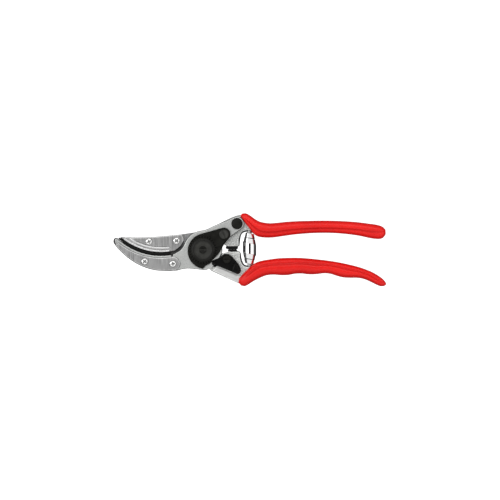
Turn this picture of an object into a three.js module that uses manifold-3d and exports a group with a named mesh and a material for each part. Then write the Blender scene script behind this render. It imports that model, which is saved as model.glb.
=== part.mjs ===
// Cut-and-hold pruning shears: a bypass cutting blade and a counter blade on two forged handles,
// with a hold plate screwed to the front of each jaw so that a cut stem stays gripped.
// Millimetres, +Z up. The shears lie closed on their back: the origin is on the pivot axis, in the
// plane that the pivot bolt's head and the two grips rest on. The jaws point to -X, the handles to +X.
import * as THREE from "three";
import { mergeVertices } from "three/addons/utils/BufferGeometryUtils.js";
import Module from "manifold-3d";

const wasm = await Module();
wasm.setup();

// ---------- driving dimensions ----------
const GAP = 0.3; // between a piece and a pocket that is cut for it
const SLIDE = 0.1; // between flat faces that slide on each other
const SEAT = 0.05; // between flat faces that are clamped together

// The stack through the pivot, from the back up.
const BOLT_HEAD_T = 2.0;
const WASHER_T = 0.4;
const LUG_T = 3.4; // lower frame behind the cutting blade
const BLADE_T = 3.0;
const COUNTER_T = 3.0;
const CLAMP_T = 1.5;
const NUT_T = 2.3;
const LUG_Z = BOLT_HEAD_T + WASHER_T + 2 * SEAT;
const BLADE_Z = LUG_Z + LUG_T + SEAT;
const FRAME_TOP = BLADE_Z + BLADE_T; // both frames end level with the cutting blade's front
const COUNTER_Z = FRAME_TOP + SLIDE;
const CLAMP_Z = COUNTER_Z + COUNTER_T + SEAT;
const NUT_Z = CLAMP_Z + CLAMP_T + SEAT;

// Pivot
const BOLT_R = 4.0;
const BOLT_HEAD_R = 9.0;
const BOLT_END_R = 3.1;
const BOLT_PROUD = 0.5; // bolt end above the nut's dished middle
const BOLT_NECK = 0.4; // room for the bolt's end in the plates that are keyed on it
const NUT_DISH = 0.6;
const WASHER_R = 8.4;
const BUSH_WALL = 1.4;
const BOSS_R = 14.8; // counter blade round the pivot
const BLADE_BOSS_R = 13.4; // cutting blade round the pivot
const LUG_PROUD = 0.3; // the lower frame's lug stands out past the blade's boss
const NUT_R = 10.4; // over the teeth
const NUT_TEETH = 30;
const TOOTH_H = 0.8;
const OPENING_DEG = 30; // how far the handles open
const CATCH_RATIO = 0.8; // degrees that the catch swings clear for each degree of opening

// Jaws: every edge between the jaws is an arc round one centre.
const JAW = new THREE.Vector2(-32.2, 44.8);
const COUNTER_EDGE_R = 49.2;
const GRIP_STRIP_W = 1.8;
const HOLD_EDGE_R = COUNTER_EDGE_R - GRIP_STRIP_W - 2 * GAP; // upper hold plate's lip
const LOWER_HOLD_SETBACK = 1.7;
const LOWER_HOLD_R = COUNTER_EDGE_R + LOWER_HOLD_SETBACK;
const BLADE_EDGE = new THREE.Vector2(-31.5, 40.2); // the cutting edge passes behind the counter blade
const BLADE_EDGE_R = 46.1;
const HOLD_T = 3.3; // upper hold plate
const LOWER_HOLD_T = 1.6;
const LIP_RIM_W = 1.3; // rim between the upper hold plate's edge and its groove
const LIP_GROOVE_W = 0.9;
const LIP_GROOVE_D = 0.7;
const UPPER_SCREWS = [[-41.6, 6.3], [-20.4, 6.9]];
const LOWER_SCREWS = [[-44.8, -9.0], [-23.1, -10.8]];
const SCREW_R = 2.4;
const SCREW_HEAD_T = 1.1;
const SCREW_SHANK_R = 1.3;
const CROSS_SLOT_L = 3.4;
const CROSS_SLOT_W = 0.62;
const PLATE_CHAMFER = 0.4;
const BLADE_SCREW = new THREE.Vector2(10.4, -10.2);
const BLADE_SCREW_R = 1.6;
const BLADE_SCREW_HEAD_R = 3.1;

// Counter blade bolt, lock screw and catch
const BOLT2 = new THREE.Vector2(26.2, 20.1); // holds the counter blade on the upper frame
const BOLT2_R = 4.35;
const BOLT2_SHANK_R = 2.5;
const BOLT2_NUT_R = 4.1; // over the corners
const COUNTER_END_R = 5.4;
const LOCK = new THREE.Vector2(16.1, 11.9); // screw of the toothed lock segment
const LOCK_SCREW_R = 3.8;
const LOCK_SHANK_R = 1.9;
const SEGMENT_T = 1.5; // toothed lock segment
const CATCH = new THREE.Vector2(18.3, -7.4); // the thumb catch turns on this post
const CATCH_POST_R = 2.2;
const CATCH_POST_HEAD_R = 3.2;
const CATCH_T = 2.6;
const CATCH_WASHER_T = 0.3;
const CATCH_NOSE = new THREE.Vector2(8.6, -9.7);
const CATCH_NOSE_R = 1.1;

// Grips and frames
const GRIP_HALF_T = 7.5;
const GRIP_MID_Z = GRIP_HALF_T; // the grips rest on the origin plane
const GRIP_WALL = 1.8;
const RIB_HALF_T = 7.5; // full half thickness in the ribs' last column
const FRAME_BACK = 2.4;

// Return spring, standing between the two pockets
const SPRING_X = 35.8;
const SPRING_LOW = -11.5;
const SPRING_HIGH = 13.4;
const SPRING_Z = 6.8;
const SPRING_MID_R = 4.98;
const SPRING_END_R = 2.3;
const SPRING_TURNS = 5;
const SPRING_CLEAR = 1.5; // between the spring and the walls of its pocket
const SPRING_LEAN_DEG = 12; // how far the strip leans in between the middle turn and the ends
const STRIP_MIDDLE_W = 7.8; // along the spring's axis, at its middle turn
const STRIP_END_W = 3.4;
const STRIP_T = 0.8;
const PEG_R = 1.6;
const PEG_PROUD = 3.0;
const PEG_SUNK = 2.4;

const BUMPER_Z = [3.8, 8.2];

// ---------- helpers ----------
const deg = THREE.MathUtils.degToRad;
const at = (centre, r, angle) =>
  new THREE.Vector2(centre.x + r * Math.cos(deg(angle)), centre.y + r * Math.sin(deg(angle)));
const ORIGIN = new THREE.Vector2(0, 0);

// A geometry as a manifold-3d solid, turned outwards if its faces point in.
function solid(geometry) {
  const g = geometry.index ? geometry.toNonIndexed() : geometry.clone();
  g.deleteAttribute("normal");
  g.deleteAttribute("uv");
  const merged = mergeVertices(g, 1e-4);
  const vertProperties = new Float32Array(merged.attributes.position.array);
  const triVerts = new Uint32Array(merged.index.array);
  const made = new wasm.Manifold(new wasm.Mesh({ numProp: 3, vertProperties, triVerts }));
  if (made.volume() > 0) return made;
  return new wasm.Manifold(
    new wasm.Mesh({ numProp: 3, vertProperties, triVerts: triVerts.reverse() }),
  );
}

// A manifold-3d solid as a three.js geometry.
function geometryOf(made) {
  const mesh = made.getMesh();
  const g = new THREE.BufferGeometry();
  const xyz = new Float32Array(mesh.numVert * 3);
  for (let i = 0; i < mesh.numVert; i++)
    xyz.set(mesh.vertProperties.subarray(i * mesh.numProp, i * mesh.numProp + 3), i * 3);
  g.setAttribute("position", new THREE.BufferAttribute(xyz, 3));
  g.setIndex(new THREE.BufferAttribute(new Uint32Array(mesh.triVerts), 1));
  g.computeVertexNormals();
  return g;
}

// An outline without points that fall on each other.
const distinct = (points) =>
  points.filter((p, i) => p.distanceTo(points[(i + 1) % points.length]) > 1e-3);

// A flat piece from height low to height high; its upper edge may be chamfered all round.
function prism(outline, low, high, chamfer = 0) {
  let points = distinct(outline);
  if (THREE.ShapeUtils.area(points) < 0) points = points.reverse();
  const n = points.length;
  const levels = [[points, low], [points, high - chamfer]];
  if (chamfer > 0) levels.push([grown(points, -chamfer), high]);
  const xyz = levels.flatMap(([ring, z]) => ring.flatMap((p) => [p.x, p.y, z]));
  const faces = [];
  for (let i = 0; i + 1 < levels.length; i++)
    for (let j = 0; j < n; j++) {
      const a = i * n + j;
      const b = i * n + ((j + 1) % n);
      faces.push(a, b, a + n, b, b + n, a + n);
    }
  const top = (levels.length - 1) * n;
  for (const [a, b, c] of THREE.ShapeUtils.triangulateShape(points, [])) {
    faces.push(a, c, b);
    faces.push(top + a, top + b, top + c);
  }
  const g = new THREE.BufferGeometry();
  g.setAttribute("position", new THREE.Float32BufferAttribute(xyz, 3));
  g.setIndex(faces);
  return solid(g);
}

// A turned piece: profile is a list of [radius, height], turned about a vertical axis through x, y.
function turned(profile, x, y, segments = 32) {
  const points = profile.map(([r, z]) => new THREE.Vector2(r, z));
  const g = new THREE.LatheGeometry(points, segments).rotateX(Math.PI / 2);
  return solid(g.translate(x, y, 0));
}

const rod = (x, y, r, low, high, segments = 32) =>
  turned([[0, low], [r, low], [r, high], [0, high]], x, y, segments);

const ring = (x, y, inner, outer, low, high, segments = 32) =>
  turned([[inner, low], [outer, low], [outer, high], [inner, high], [inner, low]], x, y, segments);

// A turned piece lying along Y, from y to y + length.
function rodAlongY(x, y, z, r, length) {
  const g = new THREE.CylinderGeometry(r, r, Math.abs(length), 20);
  return solid(g.translate(x, y + length / 2, z));
}

function block(x0, x1, y0, y1, z0, z1) {
  const g = new THREE.BoxGeometry(x1 - x0, y1 - y0, z1 - z0);
  return solid(g.translate((x0 + x1) / 2, (y0 + y1) / 2, (z0 + z1) / 2));
}

// A closed outline moved outwards by gap, each point along the mean of its two edges' normals.
function grown(points, gap) {
  const turns = THREE.ShapeUtils.area(points) > 0 ? 1 : -1;
  const open = distinct(points);
  return open.map((p, i) => {
    const before = p.clone().sub(open[(i + open.length - 1) % open.length]).normalize();
    const after = open[(i + 1) % open.length].clone().sub(p).normalize();
    const along = before.add(after).normalize();
    const half = along.dot(after); // the cosine of half the turn at this point
    const step = (gap * turns) / Math.max(half, 0.5);
    return new THREE.Vector2(p.x + along.y * step, p.y - along.x * step);
  });
}

// Points of an arc, ends included; it runs from angle a to angle b, either way round.
function arc(centre, r, a, b, steps) {
  return Array.from({ length: steps + 1 }, (_, i) => at(centre, r, a + ((b - a) * i) / steps));
}

// Points of a smooth curve through a list of [x, y], ends included.
function through(list, steps) {
  return new THREE.SplineCurve(list.map(([x, y]) => new THREE.Vector2(x, y))).getPoints(steps);
}

const pointsOf = (list) => list.map(([x, y]) => new THREE.Vector2(x, y));

// A skin over rings of points, each with the same number of points, closed by a flat end at each end.
function skin(rings) {
  const n = rings[0].length;
  const xyz = rings.flat().flatMap((p) => [p.x, p.y, p.z]);
  const faces = [];
  for (let i = 0; i + 1 < rings.length; i++)
    for (let j = 0; j < n; j++) {
      const a = i * n + j;
      const b = i * n + ((j + 1) % n);
      faces.push(a, b, a + n, b, b + n, a + n);
    }
  for (const [ringAt, flip] of [[0, true], [rings.length - 1, false]]) {
    const first = ringAt * n;
    for (let j = 1; j + 1 < n; j++)
      faces.push(first, first + (flip ? j + 1 : j), first + (flip ? j : j + 1));
  }
  const g = new THREE.BufferGeometry();
  g.setAttribute("position", new THREE.Float32BufferAttribute(xyz, 3));
  g.setIndex(faces);
  return solid(g);
}

// ---------- grips ----------
// Ribs across the handle, each [inner edge x, y, outer edge x, y, half thickness].
const UPPER_RIBS = [
  [28.7, 26.4, 30.2, 28.2, 2.6],
  [29.6, 24.0, 33.2, 28.2, 4.6],
  [31.7, 21.2, 36.6, 26.2, 5.8],
  [34.2, 18.1, 39.9, 23.8, 6.6],
  [36.7, 15.0, 43.6, 21.8, 7.1],
  [39.0, 12.2, 47.4, 20.9, 7.4],
  [42.4, 10.2, 50.8, 20.5, 7.5],
  [47.6, 9.4, 54.2, 20.6, 7.5],
  [54.2, 9.5, 58.6, 21.0, 7.5],
  [62.0, 10.6, 64.2, 21.6, 7.5],
  [72.0, 11.9, 73.0, 22.1, 7.5],
  [84.0, 12.8, 84.0, 22.4, 7.5],
  [95.5, 13.0, 95.0, 22.5, 7.5],
  [107.5, 12.4, 106.0, 22.2, 7.5],
  [119.5, 10.9, 117.0, 21.5, 7.5],
  [129.0, 8.9, 127.0, 20.3, 7.4],
  [135.6, 8.3, 133.8, 19.3, 6.9],
  [138.8, 9.4, 138.0, 17.9, 5.6],
  [140.6, 11.9, 140.4, 15.7, 3.0],
];
const LOWER_RIBS = [
  [27.1, -25.0, 29.4, -27.7, 2.6],
  [27.5, -22.4, 32.2, -28.1, 4.6],
  [29.3, -19.9, 34.9, -26.7, 5.8],
  [31.8, -17.2, 38.0, -24.7, 6.6],
  [34.5, -14.6, 41.2, -22.9, 7.1],
  [37.6, -11.8, 44.5, -21.3, 7.4],
  [41.4, -9.6, 48.0, -19.9, 7.5],
  [46.2, -8.2, 51.5, -19.3, 7.5],
  [51.7, -7.3, 55.5, -19.2, 7.5],
  [58.0, -6.5, 60.5, -19.6, 7.5],
  [64.5, -6.2, 65.8, -19.4, 7.5],
  [70.5, -6.1, 70.7, -18.5, 7.5],
  [76.5, -6.3, 76.0, -18.3, 7.5],
  [83.0, -6.8, 81.5, -18.9, 7.5],
  [89.5, -7.5, 87.0, -18.8, 7.5],
  [95.5, -8.2, 93.0, -18.1, 7.5],
  [101.5, -9.1, 98.0, -18.5, 7.5],
  [107.0, -10.1, 102.5, -19.9, 7.5],
  [112.0, -11.2, 107.5, -21.2, 7.5],
  [117.0, -12.4, 113.0, -21.6, 7.5],
  [121.8, -13.8, 118.5, -21.6, 7.4],
  [126.5, -15.5, 123.5, -22.4, 7.2],
  [131.0, -17.5, 128.0, -24.2, 6.9],
  [135.2, -20.0, 132.3, -26.3, 6.4],
  [138.4, -22.4, 136.0, -28.0, 5.4],
  [140.6, -25.0, 138.7, -28.1, 3.6],
  [141.0, -26.6, 140.2, -27.5, 2.0],
];
const RING_POINTS = 16;

// One rib as a ring of points: a superellipse whose edges stand in by inset.
function gripRing([x0, y0, x1, y1, halfT], inset) {
  const centre = new THREE.Vector2((x0 + x1) / 2, (y0 + y1) / 2);
  const across = new THREE.Vector2(x1 - x0, y1 - y0).multiplyScalar(0.5);
  const halfW = across.length();
  across.normalize();
  const squarer = (u) => Math.sign(u) * Math.abs(u) ** 0.75;
  return Array.from({ length: RING_POINTS }, (_, i) => {
    const turn = (2 * Math.PI * i) / RING_POINTS;
    const w = (halfW - inset) * squarer(Math.cos(turn));
    const t = ((halfT * GRIP_HALF_T) / RIB_HALF_T - inset) * squarer(Math.sin(turn));
    return new THREE.Vector3(centre.x + across.x * w, centre.y + across.y * w, GRIP_MID_Z + t);
  });
}

const gripLoft = (ribs, inset) => skin(ribs.map((rib) => gripRing(rib, inset)));
const coreRibs = (ribs) => ribs.slice(1, -2);

// ---------- frames ----------
// The forged front end of a frame, up to where it runs into its grip.
const UPPER_FRONT = [
  ...arc(ORIGIN, BLADE_BOSS_R + 2.6, 64, 15, 12),
  ...pointsOf([[18.8, 2.6], [27.4, 2.6], [28.2, 3.7], [28.6, 8.8]]),
  ...through([[29.5, 11.8], [31.6, 13.5], [35.8, 13.9], [38.5, 12.4], [41.5, 12.6]], 10),
  ...pointsOf([[42.5, 16.0], [36.5, 20.5], [31.6, 25.2], [28.6, 26.7], [25.4, 26.0]]),
  ...pointsOf([[21.6, 24.8], [8.2, 18.2]]),
];
const LOWER_FRONT = [
  ...arc(ORIGIN, BLADE_BOSS_R, -10, -76, 14),
  ...pointsOf([[6.6, -16.4], [26.4, -25.3], [30.2, -25.8], [36.0, -21.5], [42.0, -16.0], [42.5, -12.2]]),
  ...through([[38.6, -11.2], [35.8, -12.1], [32.4, -11.7], [30.8, -10.0], [29.5, -6.2]], 10),
  ...pointsOf([[29.1, -2.7], [28.2, -1.2], [22.7, -1.3], [18.4, -1.9], [15.4, -2.7]]),
];
const FRAME_CHAMFER = 0.7;

// The room that the spring needs in the frames and grips, with its seat bored for the peg.
function springRoom(side) {
  const seat = side > 0 ? SPRING_HIGH : SPRING_LOW;
  const profile = [
    [0, 0],
    [SPRING_MID_R + SPRING_CLEAR, 0],
    [SPRING_END_R + SPRING_CLEAR, Math.abs(seat)],
    [PEG_R + GAP, Math.abs(seat) + 0.1],
    [PEG_R + GAP, Math.abs(seat) + PEG_SUNK + 2 * GAP],
    [0, Math.abs(seat) + PEG_SUNK + 2 * GAP],
  ].map(([r, y]) => new THREE.Vector2(r, y));
  const g = new THREE.LatheGeometry(profile, 24);
  if (side < 0) g.rotateX(Math.PI);
  return solid(g.translate(SPRING_X, 0, SPRING_Z));
}

function frame(front, ribs, low, side) {
  const plate = prism(front, low, FRAME_TOP, FRAME_CHAMFER);
  const core = gripLoft(coreRibs(ribs), GRIP_WALL + GAP);
  return plate.add(core).subtract(springRoom(side));
}

function grip(front, ribs, side) {
  const room = prism(grown(front, GAP), FRAME_BACK - GAP, FRAME_TOP + GAP);
  return gripLoft(ribs, 0)
    .subtract(gripLoft(coreRibs(ribs), GRIP_WALL))
    .subtract(room)
    .subtract(springRoom(side));
}

// The bumpers are T-shaped rubber blocks whose stems sit in blind slots of the frames. A head runs
// from its face to its shoulder and stands on the frame at its foot.
const UPPER_BUMPER = {
  face: 0.24,
  shoulder: 1.0,
  foot: 2.3,
  tip: [19.6, 25.7],
  x: [17.6, 26.8],
  stem: [21.4, 25.4],
  stemTo: 6.4,
};
const LOWER_BUMPER = {
  face: 0.2,
  shoulder: -0.6,
  foot: -1.05,
  tip: [19.6, 25.7],
  x: [19.2, 26.4],
  stem: [21.6, 25.0],
  stemTo: -4.8,
};
const STEM_INSET = 0.8; // stem thinner than the head by this much on each side

function bumper({ face, shoulder, foot, tip, x, stem, stemTo }) {
  const [z0, z1] = BUMPER_Z;
  const side = Math.sign(foot);
  const flank = [[x[1], shoulder], [x[1], foot], [x[0], foot], [x[0], shoulder]];
  const head = prism(pointsOf([[tip[0], face], [tip[1], face], ...flank]), z0, z1);
  const y = [foot - side * 0.1, stemTo].sort((a, b) => a - b);
  return head.add(
    block(stem[0] + GAP, stem[1] - GAP, y[0], y[1], z0 + STEM_INSET, z1 - STEM_INSET),
  );
}

function bumperSlot({ foot, stem, stemTo }) {
  const side = Math.sign(foot);
  const y = [foot - side, stemTo + side * GAP].sort((a, b) => a - b);
  const [z0, z1] = BUMPER_Z;
  return block(stem[0], stem[1], y[0], y[1], z0 + STEM_INSET - GAP, z1 - STEM_INSET + GAP);
}

// ---------- blades ----------
// Angle, round centre c, at which an arc of radius r crosses height y on its left side.
const crossing = (c, r, y) => 180 + (Math.asin((c.y - y) / r) * 180) / Math.PI;

const COUNTER_OUTLINE = [
  ...arc(JAW, COUNTER_EDGE_R, crossing(JAW, COUNTER_EDGE_R, 9.2), 279.6, 26),
  ...pointsOf([[-24.0, -5.6], [-23.2, -5.6], [-23.1, -3.4]]), // relief at the heel of the edge
  ...through([[-21.0, -2.4], [-17.6, -0.2], [-15.4, 2.4], [-14.4, 4.2]], 6),
  ...arc(ORIGIN, BOSS_R, 161, 98, 12),
  ...pointsOf([[2.7, 15.6], [7.3, 17.9]]),
  ...arc(BOLT2, COUNTER_END_R, 114, -53, 14),
  ...pointsOf([[20.9, 9.7], [16.5, 4.5]]),
  ...arc(ORIGIN, BOSS_R + 0.1, 8, -8, 4),
  ...pointsOf([[14.3, -3.0], [12.4, -5.8], [8.4, -7.9], [6.9, -9.6]]), // ramp for the catch's nose
  ...pointsOf([[8.8, -11.9], [6.8, -13.8], [5.9, -14.6]]), // tooth that the nose hooks behind
  ...through(
    [
      [0.0, -15.5], [-5.0, -14.9], [-11.0, -14.4], [-16.0, -14.9], [-21.0, -16.1], [-31.0, -16.3],
      [-40.0, -15.0], [-49.0, -11.7], [-57.5, -6.4], [-65.0, 0.4], [-68.7, 5.2],
    ],
    36,
  ),
  ...through([[-69.1, 6.6], [-68.8, 8.2], [-67.4, 9.2], [-66.6, 9.4]], 4),
];

const BLADE_OUTLINE = [
  ...arc(BLADE_EDGE, BLADE_EDGE_R, crossing(BLADE_EDGE, BLADE_EDGE_R, 9.0), 281, 26),
  ...through([[-20.2, -3.9], [-16.6, -3.6], [-13.0, -4.4]], 5),
  ...arc(ORIGIN, BLADE_BOSS_R, 202, 294, 12),
  ...pointsOf([[9.4, -13.6], [13.4, -10.2]]), // tang, screwed to the lower frame
  ...arc(ORIGIN, BLADE_BOSS_R, -22, 88, 14),
  ...through([[-5.2, 13.5], [-9.0, 13.1], [-16.0, 12.0], [-24.0, 11.0], [-33.0, 10.1]], 10),
  ...through([[-41.0, 9.5], [-52.0, 9.3], [-60.0, 9.5], [-64.9, 9.4]], 8),
];

// ---------- hold plates ----------
const UPPER_HOLD_OUTLINE = [
  ...arc(JAW, HOLD_EDGE_R, crossing(JAW, HOLD_EDGE_R, 9.4), 278.2, 26),
  ...through([[-24.4, -1.75], [-23.2, -1.7], [-21.5, -1.1], [-19.4, 0.3], [-18.0, 1.5]], 6),
  ...arc(new THREE.Vector2(-21.9, 7.3), 7.1, -42, 38, 12),
  ...through([[-17.6, 11.9], [-26.0, 11.0], [-36.0, 10.1]], 8),
  ...through([[-42.0, 9.7], [-52.0, 9.6], [-60.0, 9.8], [-63.6, 9.8]], 8),
];
const LOWER_HOLD_OUTLINE = [
  ...arc(JAW, LOWER_HOLD_R, crossing(JAW, LOWER_HOLD_R, 5.6), 278.6, 24),
  ...arc(new THREE.Vector2(-23.1, -10.8), 5.5, 76, -80, 12),
  ...through(
    [
      [-25.0, -16.0], [-32.0, -16.1], [-40.0, -14.7], [-49.0, -11.4], [-57.5, -6.1], [-64.6, 0.3],
      [-67.4, 3.6],
    ],
    24,
  ),
];
const STRIP_OUTER_R = COUNTER_EDGE_R - GAP;
const STRIP_INNER_R = STRIP_OUTER_R - GRIP_STRIP_W;
const GRIP_STRIP_OUTLINE = [
  ...arc(JAW, STRIP_OUTER_R, crossing(JAW, STRIP_OUTER_R, 8.3), 278.6, 26),
  ...arc(JAW, STRIP_INNER_R, 278.4, crossing(JAW, STRIP_INNER_R, 8.6), 26),
];

// A cross-headed screw with a low domed head seated at height seat, and a shank that goes down to low.
function holdScrew([x, y], seat, low) {
  const head = turned(
    [
      [0, seat], [SCREW_R, seat], [SCREW_R, seat + SCREW_HEAD_T * 0.45],
      [SCREW_R * 0.72, seat + SCREW_HEAD_T * 0.88], [0, seat + SCREW_HEAD_T],
    ],
    x,
    y,
    24,
  );
  const shank = rod(x, y, SCREW_SHANK_R, low, seat + 0.2, 16);
  const top = seat + SCREW_HEAD_T;
  const [long, wide] = [CROSS_SLOT_L / 2, CROSS_SLOT_W / 2];
  const slotA = block(x - long, x + long, y - wide, y + wide, top - 0.6, top + 1);
  const slotB = block(x - wide, x + wide, y - long, y + long, top - 0.6, top + 1);
  return head.add(shank).subtract(slotA).subtract(slotB);
}
const screwHole = ([x, y], low, high) => rod(x, y, SCREW_SHANK_R + GAP, low, high, 16);

// ---------- pivot, nut and lock segment ----------
// The toothed outline round the pivot, moved out by out; angles in degrees.
function teeth(from, to, out) {
  const pitch = 360 / NUT_TEETH;
  const points = [];
  const first = Math.round(from / pitch);
  const last = Math.round(to / pitch);
  for (let k = first; k < last; k++)
    for (const [share, r] of [[0, 0], [0.2, TOOTH_H], [0.5, TOOTH_H], [0.7, 0]])
      points.push(at(ORIGIN, NUT_R - TOOTH_H + r + out, (k + share) * pitch));
  return points;
}

const CLAMP_CENTRE = new THREE.Vector2(2.0, -1.0);
const CLAMP_R = 13.7;
const LOCK_LOBE_R = 5.1; // clamp plate round the lock screw
const CLAMP_OUTLINE = [
  ...arc(CLAMP_CENTRE, CLAMP_R, -98, -253, 24),
  ...arc(LOCK, LOCK_LOBE_R, 107, -20, 12),
  ...pointsOf([[16.9, 5.0], [15.4, 2.6], [12.0, -3.2], [7.7, -7.8], [6.0, -10.2], [1.9, -12.4]]),
];
const SEGMENT_OUTLINE = [
  ...teeth(12, 60, GAP),
  at(ORIGIN, 14.2, 60),
  ...arc(LOCK, LOCK_LOBE_R - 0.4, 107, -20, 12),
  at(ORIGIN, 14.6, 13),
];

// ---------- thumb catch ----------
const CATCH_OUTLINE = [
  ...arc(CATCH_NOSE, CATCH_NOSE_R, 240, 110, 6),
  ...pointsOf([[12.2, -6.8], [14.2, -4.8]]),
  ...through(
    [
      [15.4, -3.7], [17.6, -3.1], [20.9, -4.0], [24.8, -7.8], [27.4, -11.2], [29.0, -14.6],
      [29.1, -16.4],
    ],
    14,
  ),
  ...through([[28.4, -17.9], [26.5, -18.7], [22.2, -16.9], [17.1, -14.8], [10.8, -12.3]], 10),
];

// The catch in the counter blade's frame as the handles open: everything it sweeps, with clearance.
function catchSweep() {
  const steps = 12;
  const outline = grown(CATCH_OUTLINE, GAP);
  return Array.from({ length: steps + 1 }, (_, i) => {
    const open = deg((OPENING_DEG * i) / steps);
    return prism(
      outline.map((p) => p.clone().rotateAround(CATCH, CATCH_RATIO * open).rotateAround(ORIGIN, -open)),
      COUNTER_Z - 1,
      20,
    );
  }).reduce((all, one) => all.add(one));
}
const THUMB_PAD = [
  ...through([[25.2, -9.4], [27.0, -12.0], [28.4, -15.4], [28.4, -16.6]], 6),
  ...through([[27.4, -17.8], [25.0, -17.4], [21.6, -15.8]], 4),
];

// ---------- return spring ----------
// A flat strip wound on a barrel. It is widest and furthest out at the middle turn; towards each
// end the turns grow narrower, lean in and at last stand inside each other. Along the strip, u runs
// from -1 to 1 and the middle of its width stands at half the length times 1.5 u - 0.5 u^3.
function spring() {
  const steps = SPRING_TURNS * 16;
  const half = (SPRING_HIGH - SPRING_LOW - STRIP_END_W) / 2;
  const middle = (SPRING_HIGH + SPRING_LOW) / 2;
  const clamp = THREE.MathUtils.clamp;
  const rings = Array.from({ length: steps + 1 }, (_, i) => {
    const u = (2 * i) / steps - 1;
    const apart = Math.abs(u);
    const r = SPRING_MID_R - (SPRING_MID_R - SPRING_END_R) * apart ** 1.3;
    const width = STRIP_END_W + (STRIP_MIDDLE_W - STRIP_END_W) * Math.exp(-((apart / 0.27) ** 2));
    const y = middle + half * (1.5 * u - 0.5 * u ** 3);
    const leaning = clamp((apart - 0.12) / 0.2, 0, 1) * clamp((0.85 - apart) / 0.15, 0, 1);
    const lean = Math.sign(u) * deg(SPRING_LEAN_DEG) * leaning;
    const turn = Math.PI * (SPRING_TURNS * u + 0.5);
    return [[-1, -1], [1, -1], [1, 1], [-1, 1]].map(([across, along]) => {
      const thick = (across * STRIP_T) / 2;
      const wide = (along * width) / 2;
      const rr = r + thick * Math.cos(lean) - wide * Math.sin(lean);
      return new THREE.Vector3(
        SPRING_X + rr * Math.cos(turn),
        y + wide * Math.cos(lean) + thick * Math.sin(lean),
        SPRING_Z + rr * Math.sin(turn),
      );
    });
  });
  return skin(rings);
}

// ---------- the pieces ----------
const STEEL = { color: 0xb4b4b2, roughness: 0.35, metalness: 1 };
const DARK_STEEL = { color: 0x8f9090, roughness: 0.4, metalness: 1 };
const FORGED = { color: 0xc9cac8, roughness: 0.5, metalness: 1 };
const BRIGHT = { color: 0xe6e6e4, roughness: 0.2, metalness: 1 };
const BLACK = { color: 0x1c1c1c, roughness: 0.45, metalness: 0.6 };
const RED = { color: 0xe0201c, roughness: 0.35, metalness: 0 };
const RUBBER = { color: 0x0e0e0e, roughness: 0.8, metalness: 0 };
const BRONZE = { color: 0xa87c3c, roughness: 0.4, metalness: 1 };

const shears = new THREE.Group();
function add(name, made, finish) {
  const mesh = new THREE.Mesh(geometryOf(made), new THREE.MeshStandardMaterial(finish));
  mesh.name = name;
  shears.add(mesh);
}

const counterTop = COUNTER_Z + COUNTER_T;
const boltClear = BOLT_R + BUSH_WALL + GAP;
const WHICH = ["front", "rear"];

// Upper half: counter blade, upper frame and everything fixed to them.
const frameBolts = rod(BOLT2.x, BOLT2.y, BOLT2_SHANK_R + GAP, 0, 20).add(
  rod(LOCK.x, LOCK.y, LOCK_SHANK_R + GAP, 5, 20),
);
const nutPocket = rod(BOLT2.x, BOLT2.y, BOLT2_NUT_R + 0.5, 0, FRAME_BACK + 2.6, 24);
add(
  "upper_handle_frame",
  frame(UPPER_FRONT, UPPER_RIBS, FRAME_BACK, 1)
    .subtract(frameBolts)
    .subtract(nutPocket)
    .subtract(bumperSlot(UPPER_BUMPER)),
  FORGED,
);
add(
  "upper_grip_sleeve",
  grip(UPPER_FRONT, UPPER_RIBS, 1).subtract(prism(grown(COUNTER_OUTLINE, GAP), COUNTER_Z - GAP, 30)),
  RED,
);
add(
  "counter_blade",
  LOWER_SCREWS.reduce(
    (made, s) => made.subtract(screwHole(s, COUNTER_Z - 1, 20)),
    prism(COUNTER_OUTLINE, COUNTER_Z, counterTop, PLATE_CHAMFER)
      .subtract(frameBolts)
      .subtract(rod(0, 0, BOLT_END_R + BOLT_NECK + GAP, 0, 20))
      .subtract(catchSweep()),
  ),
  STEEL,
);
const lowerHoldZ = counterTop + SEAT;
add(
  "lower_hold_plate",
  LOWER_SCREWS.reduce(
    (made, s) => made.subtract(screwHole(s, 0, 20)),
    prism(LOWER_HOLD_OUTLINE, lowerHoldZ, lowerHoldZ + LOWER_HOLD_T, PLATE_CHAMFER),
  ),
  DARK_STEEL,
);
const lowerSeat = lowerHoldZ + LOWER_HOLD_T + SEAT;
LOWER_SCREWS.forEach((s, i) =>
  add(`lower_hold_screw_${WHICH[i]}`, holdScrew(s, lowerSeat, COUNTER_Z + 0.3), BRIGHT),
);
add(
  "counter_blade_bolt",
  turned(
    [
      [0, FRAME_BACK + 0.3], [BOLT2_SHANK_R, FRAME_BACK + 0.3], [BOLT2_SHANK_R, counterTop + SEAT],
      [BOLT2_R, counterTop + SEAT], [BOLT2_R, counterTop + 1.1], [BOLT2_R - 0.7, counterTop + 1.7],
      [0, counterTop + 1.7],
    ],
    BOLT2.x,
    BOLT2.y,
  ),
  BLACK,
);
add(
  "counter_blade_nut",
  rod(BOLT2.x, BOLT2.y, BOLT2_NUT_R, FRAME_BACK + 0.2, FRAME_BACK + 2.3, 6).subtract(frameBolts),
  STEEL,
);

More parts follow.
